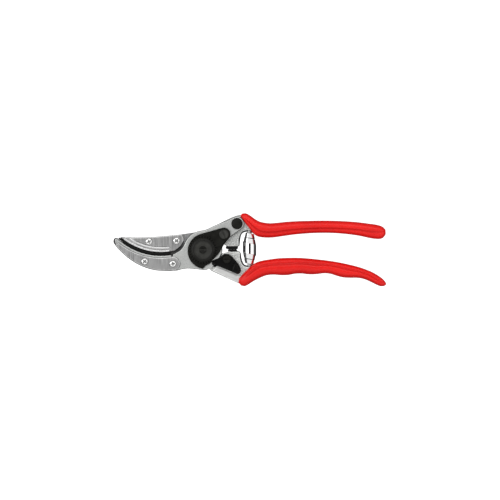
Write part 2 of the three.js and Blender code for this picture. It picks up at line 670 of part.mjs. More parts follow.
const clampHoles = rod(0, 0, BOLT_END_R + BOLT_NECK + GAP, 0, 20).add(
  rod(LOCK.x, LOCK.y, LOCK_SHANK_R + GAP, 0, 20),
);
add("clamp_plate", prism(CLAMP_OUTLINE, CLAMP_Z, CLAMP_Z + CLAMP_T).subtract(clampHoles), BLACK);
const nutTop = NUT_Z + NUT_T;
add(
  "pivot_nut",
  prism(teeth(0, 360, 0), NUT_Z, nutTop - NUT_DISH)
    .add(
      turned(
        [
          [0, NUT_Z], [8.6, NUT_Z], [8.6, nutTop - 0.4], [8.0, nutTop], [6.9, nutTop],
          [6.2, nutTop - NUT_DISH], [0, nutTop - NUT_DISH],
        ],
        0,
        0,
      ),
    )
    .subtract(rod(0, 0, BOLT_END_R + GAP, 0, 20)),
  BLACK,
);
const segmentTop = NUT_Z + SEGMENT_T;
add("lock_segment", prism(SEGMENT_OUTLINE, NUT_Z, segmentTop).subtract(clampHoles), BLACK);
add(
  "lock_screw",
  turned(
    [
      [0, 5.4], [LOCK_SHANK_R, 5.4], [LOCK_SHANK_R, segmentTop + SEAT],
      [LOCK_SCREW_R, segmentTop + SEAT], [LOCK_SCREW_R, segmentTop + 0.8],
      [LOCK_SCREW_R - 0.5, segmentTop + 1.2], [0, segmentTop + 1.2],
    ],
    LOCK.x,
    LOCK.y,
  ).subtract(
    solid(new THREE.BoxGeometry(9, 0.9, 1).rotateZ(deg(-72)).translate(LOCK.x, LOCK.y, segmentTop + 1.2)),
  ),
  BLACK,
);
const boltTop = nutTop - NUT_DISH + BOLT_PROUD;
add(
  "pivot_bolt",
  turned(
    [
      [0, 0], [BOLT_HEAD_R - 0.5, 0], [BOLT_HEAD_R, 0.5], [BOLT_HEAD_R, BOLT_HEAD_T],
      [BOLT_R, BOLT_HEAD_T], [BOLT_R, COUNTER_Z - SEAT], [BOLT_END_R, COUNTER_Z - SEAT],
      [BOLT_END_R, boltTop], [0, boltTop],
    ],
    0,
    0,
  ),
  BLACK,
);
const washerZ = BOLT_HEAD_T + SEAT;
add("pivot_washer", ring(0, 0, BOLT_R + GAP, WASHER_R, washerZ, washerZ + WASHER_T), BRONZE);
add("upper_bumper", bumper(UPPER_BUMPER), RUBBER);
const pegLength = PEG_SUNK + PEG_PROUD;
add(
  "upper_spring_peg",
  rodAlongY(SPRING_X, SPRING_HIGH + PEG_SUNK, SPRING_Z, PEG_R, -pegLength),
  STEEL,
);
add("return_spring", spring(), BRIGHT);

// Lower half: cutting blade, lower frame and everything fixed to them.
const bladeRoom = prism(grown(BLADE_OUTLINE, GAP), BLADE_Z - SEAT, FRAME_TOP + 1);
const { x: screwX, y: screwY } = BLADE_SCREW;
const bladeScrewHole = rod(screwX, screwY, BLADE_SCREW_R + GAP, 0, FRAME_TOP - 0.8, 20);
const bladeScrewSink = rod(screwX, screwY, BLADE_SCREW_HEAD_R + GAP, 0, LUG_Z + 1.5, 24);
const catchHole = rod(CATCH.x, CATCH.y, CATCH_POST_R + GAP, 4.6, 20, 24);
const bushHole = rod(0, 0, boltClear, 0, 20);
const lug = rod(0, 0, BLADE_BOSS_R + LUG_PROUD, LUG_Z, LUG_Z + LUG_T, 48);
add(
  "lower_handle_frame",
  frame(LOWER_FRONT, LOWER_RIBS, LUG_Z, -1)
    .add(lug)
    .subtract(bladeRoom)
    .subtract(bushHole)
    .subtract(bladeScrewHole)
    .subtract(bladeScrewSink)
    .subtract(catchHole)
    .subtract(bumperSlot(LOWER_BUMPER)),
  FORGED,
);
add("lower_grip_sleeve", grip(LOWER_FRONT, LOWER_RIBS, -1), RED);
add(
  "cutting_blade",
  UPPER_SCREWS.reduce(
    (made, s) => made.subtract(screwHole(s, 0, 20)),
    prism(BLADE_OUTLINE, BLADE_Z, FRAME_TOP).subtract(bushHole).subtract(bladeScrewHole),
  ),
  STEEL,
);
const upperHoldZ = FRAME_TOP + SEAT;
const lipGroove = prism(
  [
    ...arc(JAW, HOLD_EDGE_R - LIP_RIM_W, 224, 277, 24),
    ...arc(JAW, HOLD_EDGE_R - LIP_RIM_W - LIP_GROOVE_W, 277, 224, 24),
  ],
  upperHoldZ + HOLD_T - LIP_GROOVE_D,
  20,
);
add(
  "upper_hold_plate",
  UPPER_SCREWS.reduce(
    (made, s) => made.subtract(screwHole(s, 0, 20)),
    prism(UPPER_HOLD_OUTLINE, upperHoldZ, upperHoldZ + HOLD_T, PLATE_CHAMFER).subtract(lipGroove),
  ),
  DARK_STEEL,
);
const upperSeat = upperHoldZ + HOLD_T + SEAT;
UPPER_SCREWS.forEach((s, i) =>
  add(`upper_hold_screw_${WHICH[i]}`, holdScrew(s, upperSeat, BLADE_Z + 0.3), BRIGHT),
);
add("grip_strip", prism(GRIP_STRIP_OUTLINE, upperHoldZ + 0.2, upperHoldZ + HOLD_T - 0.3), RUBBER);
add(
  "blade_screw",
  turned(
    [
      [0, LUG_Z + 0.1], [BLADE_SCREW_HEAD_R, LUG_Z + 0.1], [BLADE_SCREW_HEAD_R, LUG_Z + 1.2],
      [BLADE_SCREW_R, LUG_Z + 1.2], [BLADE_SCREW_R, FRAME_TOP - 1.1], [0, FRAME_TOP - 1.1],
    ],
    screwX,
    screwY,
    20,
  ),
  STEEL,
);
add(
  "pivot_bush",
  ring(0, 0, BOLT_R + SLIDE, BOLT_R + BUSH_WALL, LUG_Z + SEAT, FRAME_TOP - SEAT),
  BRONZE,
);
add("lower_bumper", bumper(LOWER_BUMPER), RUBBER);
add(
  "lower_spring_peg",
  rodAlongY(SPRING_X, SPRING_LOW - PEG_SUNK, SPRING_Z, PEG_R, pegLength),
  STEEL,
);

const catchWasherZ = FRAME_TOP + SEAT;
const catchZ = catchWasherZ + CATCH_WASHER_T + SEAT;
const catchTop = catchZ + CATCH_T;
const postTop = catchTop + 1.3;
add(
  "catch_washer",
  ring(CATCH.x, CATCH.y, CATCH_POST_R + GAP, 3.6, catchWasherZ, catchWasherZ + CATCH_WASHER_T, 24),
  STEEL,
);
add(
  "catch_post",
  turned(
    [
      [0, 4.9], [CATCH_POST_R, 4.9], [CATCH_POST_R, catchTop + SLIDE],
      [CATCH_POST_HEAD_R, catchTop + SLIDE], [CATCH_POST_HEAD_R, catchTop + 0.9],
      [CATCH_POST_HEAD_R - 0.5, postTop], [0, postTop],
    ],
    CATCH.x,
    CATCH.y,
    28,
  ).subtract(block(CATCH.x - 4, CATCH.x + 4, CATCH.y - 0.35, CATCH.y + 0.35, postTop - 0.6, 20)),
  BLACK,
);

// The catch, which swings on its post.
add(
  "thumb_catch",
  prism(CATCH_OUTLINE, catchZ, catchTop, 0.35)
    .add(prism(THUMB_PAD, catchTop - 0.5, catchTop + 1.7, 0.5))
    .subtract(rod(CATCH.x, CATCH.y, CATCH_POST_R + SLIDE, 0, 20, 28)),
  BLACK,
);

export default shears;
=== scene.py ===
import bpy
import numpy as np
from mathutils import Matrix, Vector


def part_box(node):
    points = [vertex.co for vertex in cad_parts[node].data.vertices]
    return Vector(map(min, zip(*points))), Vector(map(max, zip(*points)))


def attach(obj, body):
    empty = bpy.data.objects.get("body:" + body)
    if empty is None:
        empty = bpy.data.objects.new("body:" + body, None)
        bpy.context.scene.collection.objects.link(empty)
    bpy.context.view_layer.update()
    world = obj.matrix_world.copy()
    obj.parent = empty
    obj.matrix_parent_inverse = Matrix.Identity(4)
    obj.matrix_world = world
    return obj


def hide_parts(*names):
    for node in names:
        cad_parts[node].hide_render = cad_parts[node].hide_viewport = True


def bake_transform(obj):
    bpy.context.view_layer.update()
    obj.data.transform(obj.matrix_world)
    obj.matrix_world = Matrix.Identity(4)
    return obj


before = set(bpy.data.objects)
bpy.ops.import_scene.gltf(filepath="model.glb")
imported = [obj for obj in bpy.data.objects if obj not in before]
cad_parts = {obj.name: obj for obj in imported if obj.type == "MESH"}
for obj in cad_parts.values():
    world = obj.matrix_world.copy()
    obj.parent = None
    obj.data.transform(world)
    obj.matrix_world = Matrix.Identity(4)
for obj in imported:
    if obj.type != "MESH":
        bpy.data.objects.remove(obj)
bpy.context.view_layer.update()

# ---------------------------------------------------------------- stage
# A plain white sweep under soft boxes. The camera hangs straight above the shears with a long
# lens on a dark boom, the floor glows to the camera so that it reads as white paper, and the sky is
# bright above a dark horizon, which gives metal its dark edges.
CAMERA_HEIGHT = 2.0
FIELD_WIDTH = 0.3846
FIELD_CENTRE = (0.03615, -0.00015)
MEAN_HEIGHT = 0.01

camera_data = bpy.data.cameras.new("camera")
camera_data.sensor_width = 36
camera_data.lens = camera_data.sensor_width * (CAMERA_HEIGHT - MEAN_HEIGHT) / FIELD_WIDTH
camera_data.clip_end = 20
camera = bpy.data.objects.new("camera", camera_data)
camera.location = (*FIELD_CENTRE, CAMERA_HEIGHT)
bpy.context.collection.objects.link(camera)
bpy.context.scene.camera = camera
bpy.context.scene.view_settings.view_transform = "Standard"


class Tone:
    """One socket of a node tree. Arithmetic on it adds Math nodes."""

    def __init__(self, tree, socket):
        self.tree = tree
        self.socket = socket

    def node(self, kind, settings=None, inputs=None, output=0):
        made = self.tree.nodes.new(kind)
        for name, value in (settings or {}).items():
            setattr(made, name, value)
        for name, value in (inputs or {}).items():
            if isinstance(value, Tone):
                self.tree.links.new(value.socket, made.inputs[name])
            else:
                made.inputs[name].default_value = value
        return Tone(self.tree, made.outputs[output])

    def maths(self, operation, *values):
        return self.node("ShaderNodeMath", {"operation": operation}, dict(enumerate(values)))

    def __add__(self, other):
        return self.maths("ADD", self, other)

    def __mul__(self, other):
        if isinstance(other, tuple):
            return self.node("ShaderNodeVectorMath", {"operation": "MULTIPLY"}, {0: self, 1: other})
        return self.maths("MULTIPLY", self, other)

    def __sub__(self, other):
        return self.maths("SUBTRACT", self, other)

    def __rsub__(self, other):
        return self.maths("SUBTRACT", other, self)

    __radd__ = __add__
    __rmul__ = __mul__

    def step(self, low, high):
        """0 below low, 1 above high, and smooth between them."""
        settings = {"interpolation_type": "SMOOTHSTEP"}
        return self.node("ShaderNodeMapRange", settings, {0: self, 1: low, 2: high, 3: 0.0, 4: 1.0})

    def mix(self, first, second):
        """The first colour where this is 0 and the second where it is 1."""
        first, second = (c if isinstance(c, Tone) else (*c, 1) for c in (first, second))
        inputs = {0: self, 6: first, 7: second}
        return self.node("ShaderNodeMix", {"data_type": "RGBA"}, inputs, output=2)

    def length(self):
        """How long this vector is."""
        return self.node("ShaderNodeVectorMath", {"operation": "LENGTH"}, {0: self}, "Value")

    def axis(self, name):
        """The X, Y or Z of this vector."""
        return self.node("ShaderNodeSeparateXYZ", inputs={0: self}, output=name)

    def into(self, socket):
        self.tree.links.new(self.socket, socket)


world = bpy.data.worlds.new("world")
world.use_nodes = True
bpy.context.scene.world = world
sky = Tone(world.node_tree, world.node_tree.nodes.new("ShaderNodeTexCoord").outputs["Generated"])
across, along, upwards = (sky.axis(name) for name in "XYZ")
horizon = across.step(0.0, 0.6) * 0.16 + 0.03
above = upwards.step(0.08, 0.42)
open_sky = horizon + (1.0 - horizon) * above
boom = (1.0 - along.maths("ABSOLUTE", along).step(0.09, 0.2)) * across.step(-0.46, -0.38)
boom_shade = across.step(0.16, 0.4) * 0.28 + 0.02
background = world.node_tree.nodes["Background"]
background.inputs["Color"].default_value = (1, 1, 1, 1)
(open_sky + boom * (boom_shade - open_sky)).into(background.inputs["Strength"])


def softbox(name, place, aim, size, watts):
    data = bpy.data.lights.new(name, "AREA")
    data.shape = "RECTANGLE"
    data.size, data.size_y = size
    data.energy = watts
    lamp = bpy.data.objects.new(name, data)
    lamp.location = place
    lamp.rotation_euler = (Vector(aim) - Vector(place)).to_track_quat("-Z", "Y").to_euler()
    bpy.context.collection.objects.link(lamp)


softbox("softbox_left", (-0.95, 0.25, 1.0), (0.03, 0, 0), (0.5, 1.3), 5)
softbox("softbox_right", (1.05, 0.1, 0.8), (0.03, 0, 0), (0.4, 1.3), 2)
softbox("softbox_far", (0.1, 1.1, 1.0), (0.03, 0, 0), (1.3, 0.5), 3)

FLOOR_REACH = 6.0
FLOOR_GLOW = 1.2
floor_mesh = bpy.data.meshes.new("floor")
corners = [(-FLOOR_REACH, -FLOOR_REACH, 0), (FLOOR_REACH, -FLOOR_REACH, 0)]
corners += [(FLOOR_REACH, FLOOR_REACH, 0), (-FLOOR_REACH, FLOOR_REACH, 0)]
floor_mesh.from_pydata(corners, [], [(0, 1, 2, 3)])
floor = bpy.data.objects.new("floor", floor_mesh)
bpy.context.collection.objects.link(floor)
paper = bpy.data.materials.new("paper")
paper.use_nodes = True
paper_shader = paper.node_tree.nodes["Principled BSDF"]
paper_shader.inputs["Base Color"].default_value = (0.16, 0.16, 0.16, 1)
paper_shader.inputs["Roughness"].default_value = 0.9
paper_shader.inputs["Specular IOR Level"].default_value = 0.1
paper_shader.inputs["Emission Color"].default_value = (1, 1, 1, 1)
paper_tone = Tone(paper.node_tree, paper_shader.outputs[0])
seen = paper_tone.node("ShaderNodeLightPath", output="Is Camera Ray")
(seen * FLOOR_GLOW).into(paper_shader.inputs["Emission Strength"])
floor_mesh.materials.append(paper)

# ---------------------------------------------------------------- upper forging
# The handle that carries the counter blade: an aluminium forging, blasted to a fine grey grain,
# with its edges struck round. It passes under the counter blade, makes the upper half of the
# spring pocket and runs on as a tang inside the grip.
MM = 0.001
POCKET = (35.8, 1.0)
POCKET_HALF = (8.2, 14.6)
POCKET_CORNERS = [(28.0, 3.2), (28.4, -2.0)]
POCKET_LEAN, WALL_LEAN = 0.65, 0.3
BLADE_BOSS_R = 13.4
CRISP = 15  # degrees past which the edges of forged and ground plates stay sharp


def arc(centre, radius, start, end, steps=12):
    """The centre plus the radius, turned evenly from the start to the end angle in degrees."""
    turn = np.radians(np.linspace(start, end, steps + 1))
    return np.column_stack([centre[0] + radius * np.cos(turn), centre[1] + radius * np.sin(turn)])


def curve(points, steps=8):
    """A cubic through every point, whose slope at each is half the step from the one before it to
    the one after it; the two ends are carried on straight."""
    p = np.array(points, float)
    p = np.vstack([2 * p[0] - p[1], p, 2 * p[-1] - p[-2]])
    t = np.linspace(0, 1, steps, endpoint=False)[:, None, None]
    a, b, c, d = p[:-3], p[1:-2], p[2:-1], p[3:]
    q = b + t * (c - a) / 2
    q += t**2 * (a - 2.5 * b + 2 * c - d / 2) + t**3 * (3 * b - a - 3 * c + d) / 2
    return np.vstack([q.transpose(1, 0, 2).reshape(-1, p.shape[1]), p[-2]])


def loop(*stretches):
    """The stretches end to end as one anticlockwise outline, without repeated points."""
    p = np.vstack([np.asarray(stretch, float) for stretch in stretches])
    p = p[np.linalg.norm(p - np.roll(p, -1, 0), axis=1) > 0.02]
    following = np.roll(p, -1, 0)
    area = np.sum(p[:, 0] * following[:, 1] - following[:, 0] * p[:, 1])
    return p if area > 0 else p[::-1]


def inset(outline, distance):
    """Each point moved inwards on the line that halves its corner, so that both its edges move in
    by the distance."""
    before = outline - np.roll(outline, 1, 0)
    after = np.roll(outline, -1, 0) - outline
    before /= np.linalg.norm(before, axis=1)[:, None]
    after /= np.linalg.norm(after, axis=1)[:, None]
    along = before + after
    along /= np.linalg.norm(along, axis=1)[:, None]
    share = np.maximum((along * after).sum(1), 0.45)
    outwards = np.column_stack([along[:, 1], -along[:, 0]])
    return outline - outwards * (np.broadcast_to(distance, share.shape) / share)[:, None]


def surface(name, grid, smooth=38):
    """A closed skin over a grid of points in millimetres: quads between neighbouring rows, each row
    closed on itself, and a face over the first row and the last. It is turned outwards."""
    rows, columns = grid.shape[:2]
    i = np.arange(rows - 1)[:, None] * columns
    j = np.arange(columns)
    k = (j + 1) % columns
    four = np.broadcast_arrays(i + j, i + k, i + columns + k, i + columns + j)
    quads = np.stack(four, -1).reshape(-1, 4)
    ends = [np.arange(columns)[::-1], np.arange(columns) + (rows - 1) * columns]
    points = grid.reshape(-1, 3)
    middle = points - points.mean(0)
    a, b, c, d = (middle[quads[:, n]] for n in range(4))
    volume = np.einsum("ij,ij->", a, np.cross(b, c)) + np.einsum("ij,ij->", a, np.cross(c, d))
    for end in ends:
        e = middle[end]
        first = np.broadcast_to(e[0], e[1:-1].shape)
        volume += np.einsum("ij,ij->", first, np.cross(e[1:-1], e[2:]))
    faces = quads.tolist() + [end.tolist() for end in ends]
    if volume < 0:
        faces = [face[::-1] for face in faces]
    mesh = bpy.data.meshes.new(name)
    mesh.from_pydata(points * MM, [], faces)
    mesh.set_sharp_from_angle(angle=np.radians(smooth))
    mesh.polygons.foreach_set("use_smooth", np.r_[np.ones(len(quads), bool), False, False])
    piece = bpy.data.objects.new(name, mesh)
    bpy.context.collection.objects.link(piece)
    return piece


def plate(name, outline, levels, smooth=38):
    """A plate as a stack of its outline: each level is a height and how far the outline stands in
    there, and either may differ from point to point."""
    rings = []
    for height, distance in levels:
        flat = inset(outline, distance)
        rings.append(np.column_stack([flat, np.broadcast_to(height, len(flat))]))
    return surface(name, np.array(rings), smooth)


def drafted(low, high, draft, line, edge=0.12):
    """Levels of a plate whose walls lean in by the line over the draft's height, under a shallow
    bevel three times as wide as it is high. Each of them may differ from point to point."""
    return [
        (low, edge),
        (low + edge, 0.0),
        (high - draft, 0.0),
        (high - edge, line),
        (high, line + 3 * edge),
    ]


def near(outline, base, places):
    """A base value for each point, and at each place an amount more that fades with the square of
    the distance over its reach."""
    value = np.full(len(outline), float(base))
    for x, y, reach, more in places:
        value += more * np.exp(-(((outline - (x, y)) / reach) ** 2).sum(1))
    return value


def put(piece, material, body, slot, *nodes):
    """Gives a piece its finish and its body, and hides the CAD nodes that it stands for."""
    piece.data.materials.clear()
    piece.data.materials.append(material)
    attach(piece, body)
    if nodes:
        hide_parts(*nodes)


def finish(name, roughness=0.5, metallic=0.0, coat=0.0, specular=0.5):
    """A material, its shader and the tone of its object coordinates."""
    material = bpy.data.materials.new(name)
    material.use_nodes = True
    tree = material.node_tree
    shader = tree.nodes["Principled BSDF"]
    shader.inputs["Roughness"].default_value = roughness
    shader.inputs["Metallic"].default_value = metallic
    shader.inputs["Coat Weight"].default_value = coat
    shader.inputs["Specular IOR Level"].default_value = specular
    return material, shader, Tone(tree, tree.nodes.new("ShaderNodeTexCoord").outputs["Object"])


def noise(place, size, detail=2.0, stretch=(1, 1, 1)):
    """Noise whose features are about size millimetres, drawn out along an axis by its stretch."""
    scale = [1 / (size * MM * s) for s in stretch]
    moved = place.node("ShaderNodeMapping", inputs={0: place, 3: scale})
    inputs = {"Vector": moved, "Scale": 1.0, "Detail": detail}
    return moved.node("ShaderNodeTexNoise", inputs=inputs)


def bump(shader, height, depth):
    """Presses a height of 0 to 1 into the surface, depth millimetres deep."""
    inputs = {"Height": height, "Distance": depth * MM, "Strength": 1.0}
    height.node("ShaderNodeBump", inputs=inputs).into(shader.inputs["Normal"])


def wall(place, low, high):
    """1 on the walls of a plate between two heights in millimetres, and 0 on its two faces."""
    z = place.axis("Z")
    past_back = z.step((low + 0.05) * MM, (low + 0.25) * MM)
    past_front = z.step((high - 0.25) * MM, (high - 0.12) * MM)
    return past_back - past_front


FRAME_LOW, FRAME_HIGH = 2.4, 8.95
FORGING_DRAFT, FORGING_BEVEL = 2.2, 0.25
forged, shader, place = finish("forged_aluminium", 0.5, 1.0)
grain = noise(place, 1.0, 6)
cloud = noise(place, 9, 2)
# Painted shade: the forging is painted a little darker towards +Y, so that the upper handle is
# darker than the lower one.
side = place.axis("Y").step(-8 * MM, 8 * MM)
mottle = grain * 0.8 + cloud * 0.2 + 0.02 - side * 0.08
base = mottle.step(0.35, 0.64).mix((0.40, 0.41, 0.40), (0.78, 0.79, 0.77))
moved = place.node("ShaderNodeMapping", inputs={0: place, 1: (-POCKET[0] * MM, -POCKET[1] * MM, 0)})
oval = (moved * (1 / POCKET_HALF[0] / MM, 1 / POCKET_HALF[1] / MM, 0)).length()
# Painted shade: the forging's walls are painted near black, most of all round the spring pocket,
# for the dark shaded edges.
painted_wall_shade = wall(place, FRAME_LOW, FRAME_HIGH) * (1.0 - oval.step(1.12, 1.25) * 0.6)
painted_wall_shade.mix(base, (0.07, 0.07, 0.07)).into(shader.inputs["Base Color"])
(grain * 0.2 + 0.38).into(shader.inputs["Roughness"])
bump(shader, grain, 0.06)

upper_front = loop(
    arc((0, 0), BLADE_BOSS_R + 2.6, 64, 15, 20),
    curve([(16.6, 4.0), (18.8, 2.6), (21.0, 2.5)], 3),
    [(26.8, 2.5)],
    curve([(27.5, 2.7), (28.1, 3.6), (28.6, 8.0), (29.5, 11.6), (31.6, 13.5), (35.8, 14.0),
           (38.4, 12.8), (41.0, 12.6)]),
    [(42.5, 15.5), (36.5, 20.5), (31.6, 25.2), (29.0, 26.6)],
    curve([(27.6, 26.9), (25.4, 26.2), (21.6, 24.8)], 4),
    [(8.2, 18.2)],
)


def pocket_line(outline):
    """How far the walls lean in: a little, and about three times as much round the oval spring
    pocket, but not at its two sharp corners."""
    oval = np.hypot(*((outline - POCKET) / POCKET_HALF).T)
    away = near(outline, 1, [(*corner, 2.2, -1) for corner in POCKET_CORNERS])
    return WALL_LEAN + POCKET_LEAN * np.clip((1.12 - oval) / 0.1, 0, 1) * away


lean = pocket_line(upper_front)
upper_levels = drafted(FRAME_LOW, FRAME_HIGH, FORGING_DRAFT, lean, FORGING_BEVEL)
upper_forging = plate("upper_forging", upper_front, upper_levels, CRISP)
put(upper_forging, forged, "counter_half", "forged_aluminium", "upper_handle_frame")

# ---------------------------------------------------------------- grips
# Both handles are dipped in thick red vinyl, glossy and smooth. Each grip is a flattened oval in
# section with a shallow channel along the inner third of its front and back, where the vinyl
# follows the forging. The lower one swells and dips for the fingers.
UPPER_RIBS = [
    (28.7, 26.4, 30.2, 28.0, 2.6), (29.6, 24.0, 33.2, 28.06, 4.6), (31.7, 21.2, 36.6, 26.2, 5.8),
    (34.2, 18.1, 39.9, 23.8, 6.6), (36.7, 15.0, 43.6, 21.8, 7.1), (39.0, 12.2, 47.4, 20.9, 7.4),
    (42.4, 10.2, 50.8, 20.5, 7.5), (47.6, 9.4, 54.2, 20.6, 7.5), (54.2, 9.5, 58.6, 21.0, 7.5),
    (62.0, 10.6, 64.2, 21.6, 7.5), (72.0, 11.9, 73.0, 22.1, 7.5), (84.0, 12.8, 84.0, 22.4, 7.5),
    (95.5, 13.0, 95.0, 22.5, 7.5), (107.5, 12.4, 106.0, 22.2, 7.5), (119.5, 10.9, 117.0, 21.5, 7.5),
    (129.0, 8.9, 127.0, 20.3, 7.4), (135.6, 8.3, 133.8, 19.3, 6.9), (138.8, 9.4, 138.0, 17.9, 5.6),
    (140.6, 11.9, 140.4, 15.7, 3.0),
]
LOWER_RIBS = [
    (27.1, -25.0, 29.4, -27.6, 2.6), (27.5, -22.4, 32.2, -28.0, 4.6),
    (29.3, -19.9, 34.9, -26.7, 5.8), (31.8, -17.2, 38.0, -24.7, 6.6),
    (34.5, -14.6, 41.2, -22.9, 7.1), (37.6, -11.8, 44.5, -21.3, 7.4),
    (41.4, -9.6, 48.0, -19.9, 7.5), (46.2, -8.2, 51.5, -19.3, 7.5),
    (51.7, -7.3, 55.5, -19.2, 7.5), (58.0, -6.5, 60.5, -19.6, 7.5),
    (64.5, -6.2, 65.8, -19.4, 7.5), (70.5, -6.1, 70.7, -18.5, 7.5),
    (76.5, -6.3, 76.0, -18.3, 7.5), (83.0, -6.8, 81.5, -18.9, 7.5),
    (89.5, -7.5, 87.0, -18.8, 7.5), (95.5, -8.2, 93.0, -18.1, 7.5),
    (101.5, -9.1, 98.0, -18.5, 7.5), (107.0, -10.1, 102.5, -19.9, 7.5),
    (112.0, -11.2, 107.5, -21.2, 7.5), (117.0, -12.4, 113.0, -21.6, 7.5),
    (121.8, -13.8, 118.5, -21.6, 7.4), (126.5, -15.5, 123.5, -22.4, 7.2),
    (131.0, -17.5, 128.0, -24.2, 6.9), (135.2, -20.0, 132.3, -26.3, 6.4),
    (138.4, -22.4, 136.0, -27.9, 5.4), (140.6, -25.0, 138.7, -28.0, 3.6),
    (141.0, -26.6, 140.2, -27.5, 2.0),
]
GRIP_MIDDLE = 7.5
GRIP_ROUND = 128
SQUARENESS = 0.8
CHANNEL_AT, CHANNEL_HALF, CHANNEL_DEPTH = -0.34, 0.19, 0.12
CHANNEL_START, CHANNEL_RUN_IN, CHANNEL_RUN_OUT = 0.05, 0.09, 0.12
BEND_AT, BEND_RUN, BEND = 0.6, 0.3, 0.3
STEP_DEPTH, STEP_SOFTNESS = 0.08, 0.07


def grip(name, ribs):
    """Ovals carried along the ribs. An oval's points stand at middle + half * c across the grip
    and at thick * s from its middle height, where c and s are the cosine and sine of the turn, each
    raised to a power below one to square the oval a little. The height is pressed in round one
    value of c for the channel, which bends towards the tip, and a little on one side of it."""
    stations = curve(ribs, 7)
    inner, outer, thick = stations[:, 0:2], stations[:, 2:4], stations[:, 4]
    turn = np.linspace(0, 2 * np.pi, GRIP_ROUND, endpoint=False)
    c = np.sign(np.cos(turn)) * np.abs(np.cos(turn)) ** SQUARENESS
    s = np.sign(np.sin(turn)) * np.abs(np.sin(turn)) ** SQUARENESS
    along = np.linspace(0, 1, len(stations))
    fade = np.clip((along - CHANNEL_START) / CHANNEL_RUN_IN, 0, 1)
    fade *= np.clip((1 - along) / CHANNEL_RUN_OUT, 0, 1)
    bend = BEND * np.clip((along[:, None] - BEND_AT) / BEND_RUN, 0, 1) ** 2
    from_crease = c - CHANNEL_AT - bend
    crease = fade[:, None] * np.exp(-((from_crease / CHANNEL_HALF) ** 2))
    lower = fade[:, None] / (1 + np.exp(from_crease / STEP_SOFTNESS))
    middle, half = (inner + outer) / 2, (outer - inner) / 2
    flat = middle[:, None, :] + half[:, None, :] * c[None, :, None]
    height = GRIP_MIDDLE + thick[:, None] * s * (1 - CHANNEL_DEPTH * crease - STEP_DEPTH * lower)
    piece = surface(name, np.concatenate([flat, height[:, :, None]], 2), 60)
    # The crease is also kept as an attribute, which the vinyl uses to paint shade into the channel.
    shade = piece.data.attributes.new("crease", "FLOAT", "POINT")
    shade.data.foreach_set("value", crease.ravel())
    return piece


vinyl, shader, place = finish("red_vinyl", 0.3, 0.0, coat=0.03, specular=0.24)
skin = noise(place, 2.2, 2)
wear = noise(place, 26, 3)
# Painted shade: the base colour darkens along the channel, read from the crease attribute, for the
# shade in the crease. The large noise also darkens it a little at random.
crease = place.node("ShaderNodeAttribute", {"attribute_name": "crease"}, output="Fac")
depth = wear.step(0.35, 0.7) * 0.3 + crease * 0.5
depth.mix((0.80, 0.010, 0.007), (0.50, 0.003, 0.003)).into(shader.inputs["Base Color"])
(skin * 0.12 + wear * 0.14 + 0.22).into(shader.inputs["Roughness"])
bump(shader, skin, 0.05)
put(grip("upper_grip", UPPER_RIBS), vinyl, "counter_half", "red_vinyl", "upper_grip_sleeve")
put(grip("lower_grip", LOWER_RIBS), vinyl, "blade_half", "red_vinyl", "lower_grip_sleeve")

# ---------------------------------------------------------------- lower forging
# The handle that carries the cutting blade: the same forging, with a thin round lug that passes
# behind the blade for the pivot, and a straight bright shoulder along its lower edge.
LUG_LOW, LUG_HIGH = 2.5, 5.9
lower_front = loop(
    arc((0, 0), BLADE_BOSS_R + 0.4, -10, -76, 20),
    [(6.6, -16.3), (27.6, -26.0), (30.2, -25.8), (36.0, -21.5), (42.0, -16.0), (42.5, -12.2)],
    curve([(38.6, -11.2), (35.8, -12.1), (32.4, -11.7), (30.8, -10.0), (29.5, -6.2), (29.1, -2.9),
           (28.2, -1.3)]),
    curve([(27.4, -1.1), (22.7, -1.2), (18.4, -1.9), (15.4, -2.9)], 6),
)


def rounded(low, high, edge, steps=4):
    """Levels of a plate between two heights whose edges are quarter circles."""
    turn = np.linspace(0, np.pi / 2, steps + 1)
    across = edge * (1 - np.sin(turn))
    up = edge * (1 - np.cos(turn))
    return list(zip(low + up, across)) + list(zip(high - up[::-1], across[::-1]))


lean = pocket_line(lower_front)
lower_levels = drafted(LUG_LOW, FRAME_HIGH, FORGING_DRAFT, lean, FORGING_BEVEL)
lower_forging = plate("lower_forging", lower_front, lower_levels, CRISP)
put(lower_forging, forged, "blade_half", "forged_aluminium", "lower_handle_frame")
lug_line = loop(arc((0, 0), BLADE_BOSS_R + 0.3, 0, 352, 90))
lug = plate("lower_forging_lug", lug_line, rounded(LUG_LOW, LUG_HIGH, 0.5))
put(lug, forged, "blade_half", "forged_aluminium")
shoulder_line = loop(
    [(7.4, -15.9), (10.4, -13.3)],
    curve([(12.8, -13.9), (18.0, -16.0), (25.0, -19.0), (27.6, -21.0), (28.2, -24.6)], 5),
    [(26.8, -25.4)],
)
bright, shader, place = finish("polished_shoulder", 0.42, 1.0)
grain = noise(place, 0.6, 3, (6, 1, 1))
grain.step(0.2, 0.8).mix((0.72, 0.72, 0.71), (0.84, 0.84, 0.83)).into(shader.inputs["Base Color"])
SHOULDER_SUNK, SHOULDER_WALL, SHOULDER_RISE, SHOULDER_BEVEL = 0.5, 0.1, 0.28, 0.5
shoulder_levels = [(FRAME_HIGH - SHOULDER_SUNK, 0), (FRAME_HIGH + SHOULDER_WALL, 0)]
shoulder_levels += [(FRAME_HIGH + SHOULDER_RISE, SHOULDER_BEVEL)]
shoulder = plate("lower_forging_shoulder", shoulder_line, shoulder_levels)
put(shoulder, bright, "blade_half", "forged_aluminium")

# ---------------------------------------------------------------- counter blade
# The hooked lower jaw: a flat forged steel plate on the front of the upper handle, held by a black
# dome bolt and by the pivot. Its working edge is an arc, and a notch in its boss catches the latch.
JAW = (-32.2, 44.8)
COUNTER_EDGE_R = 49.2
BOSS_R = 14.8
BOLT = (26.2, 20.1)
COUNTER_POINT, COUNTER_BACK = (-69, 6), (23, 11)


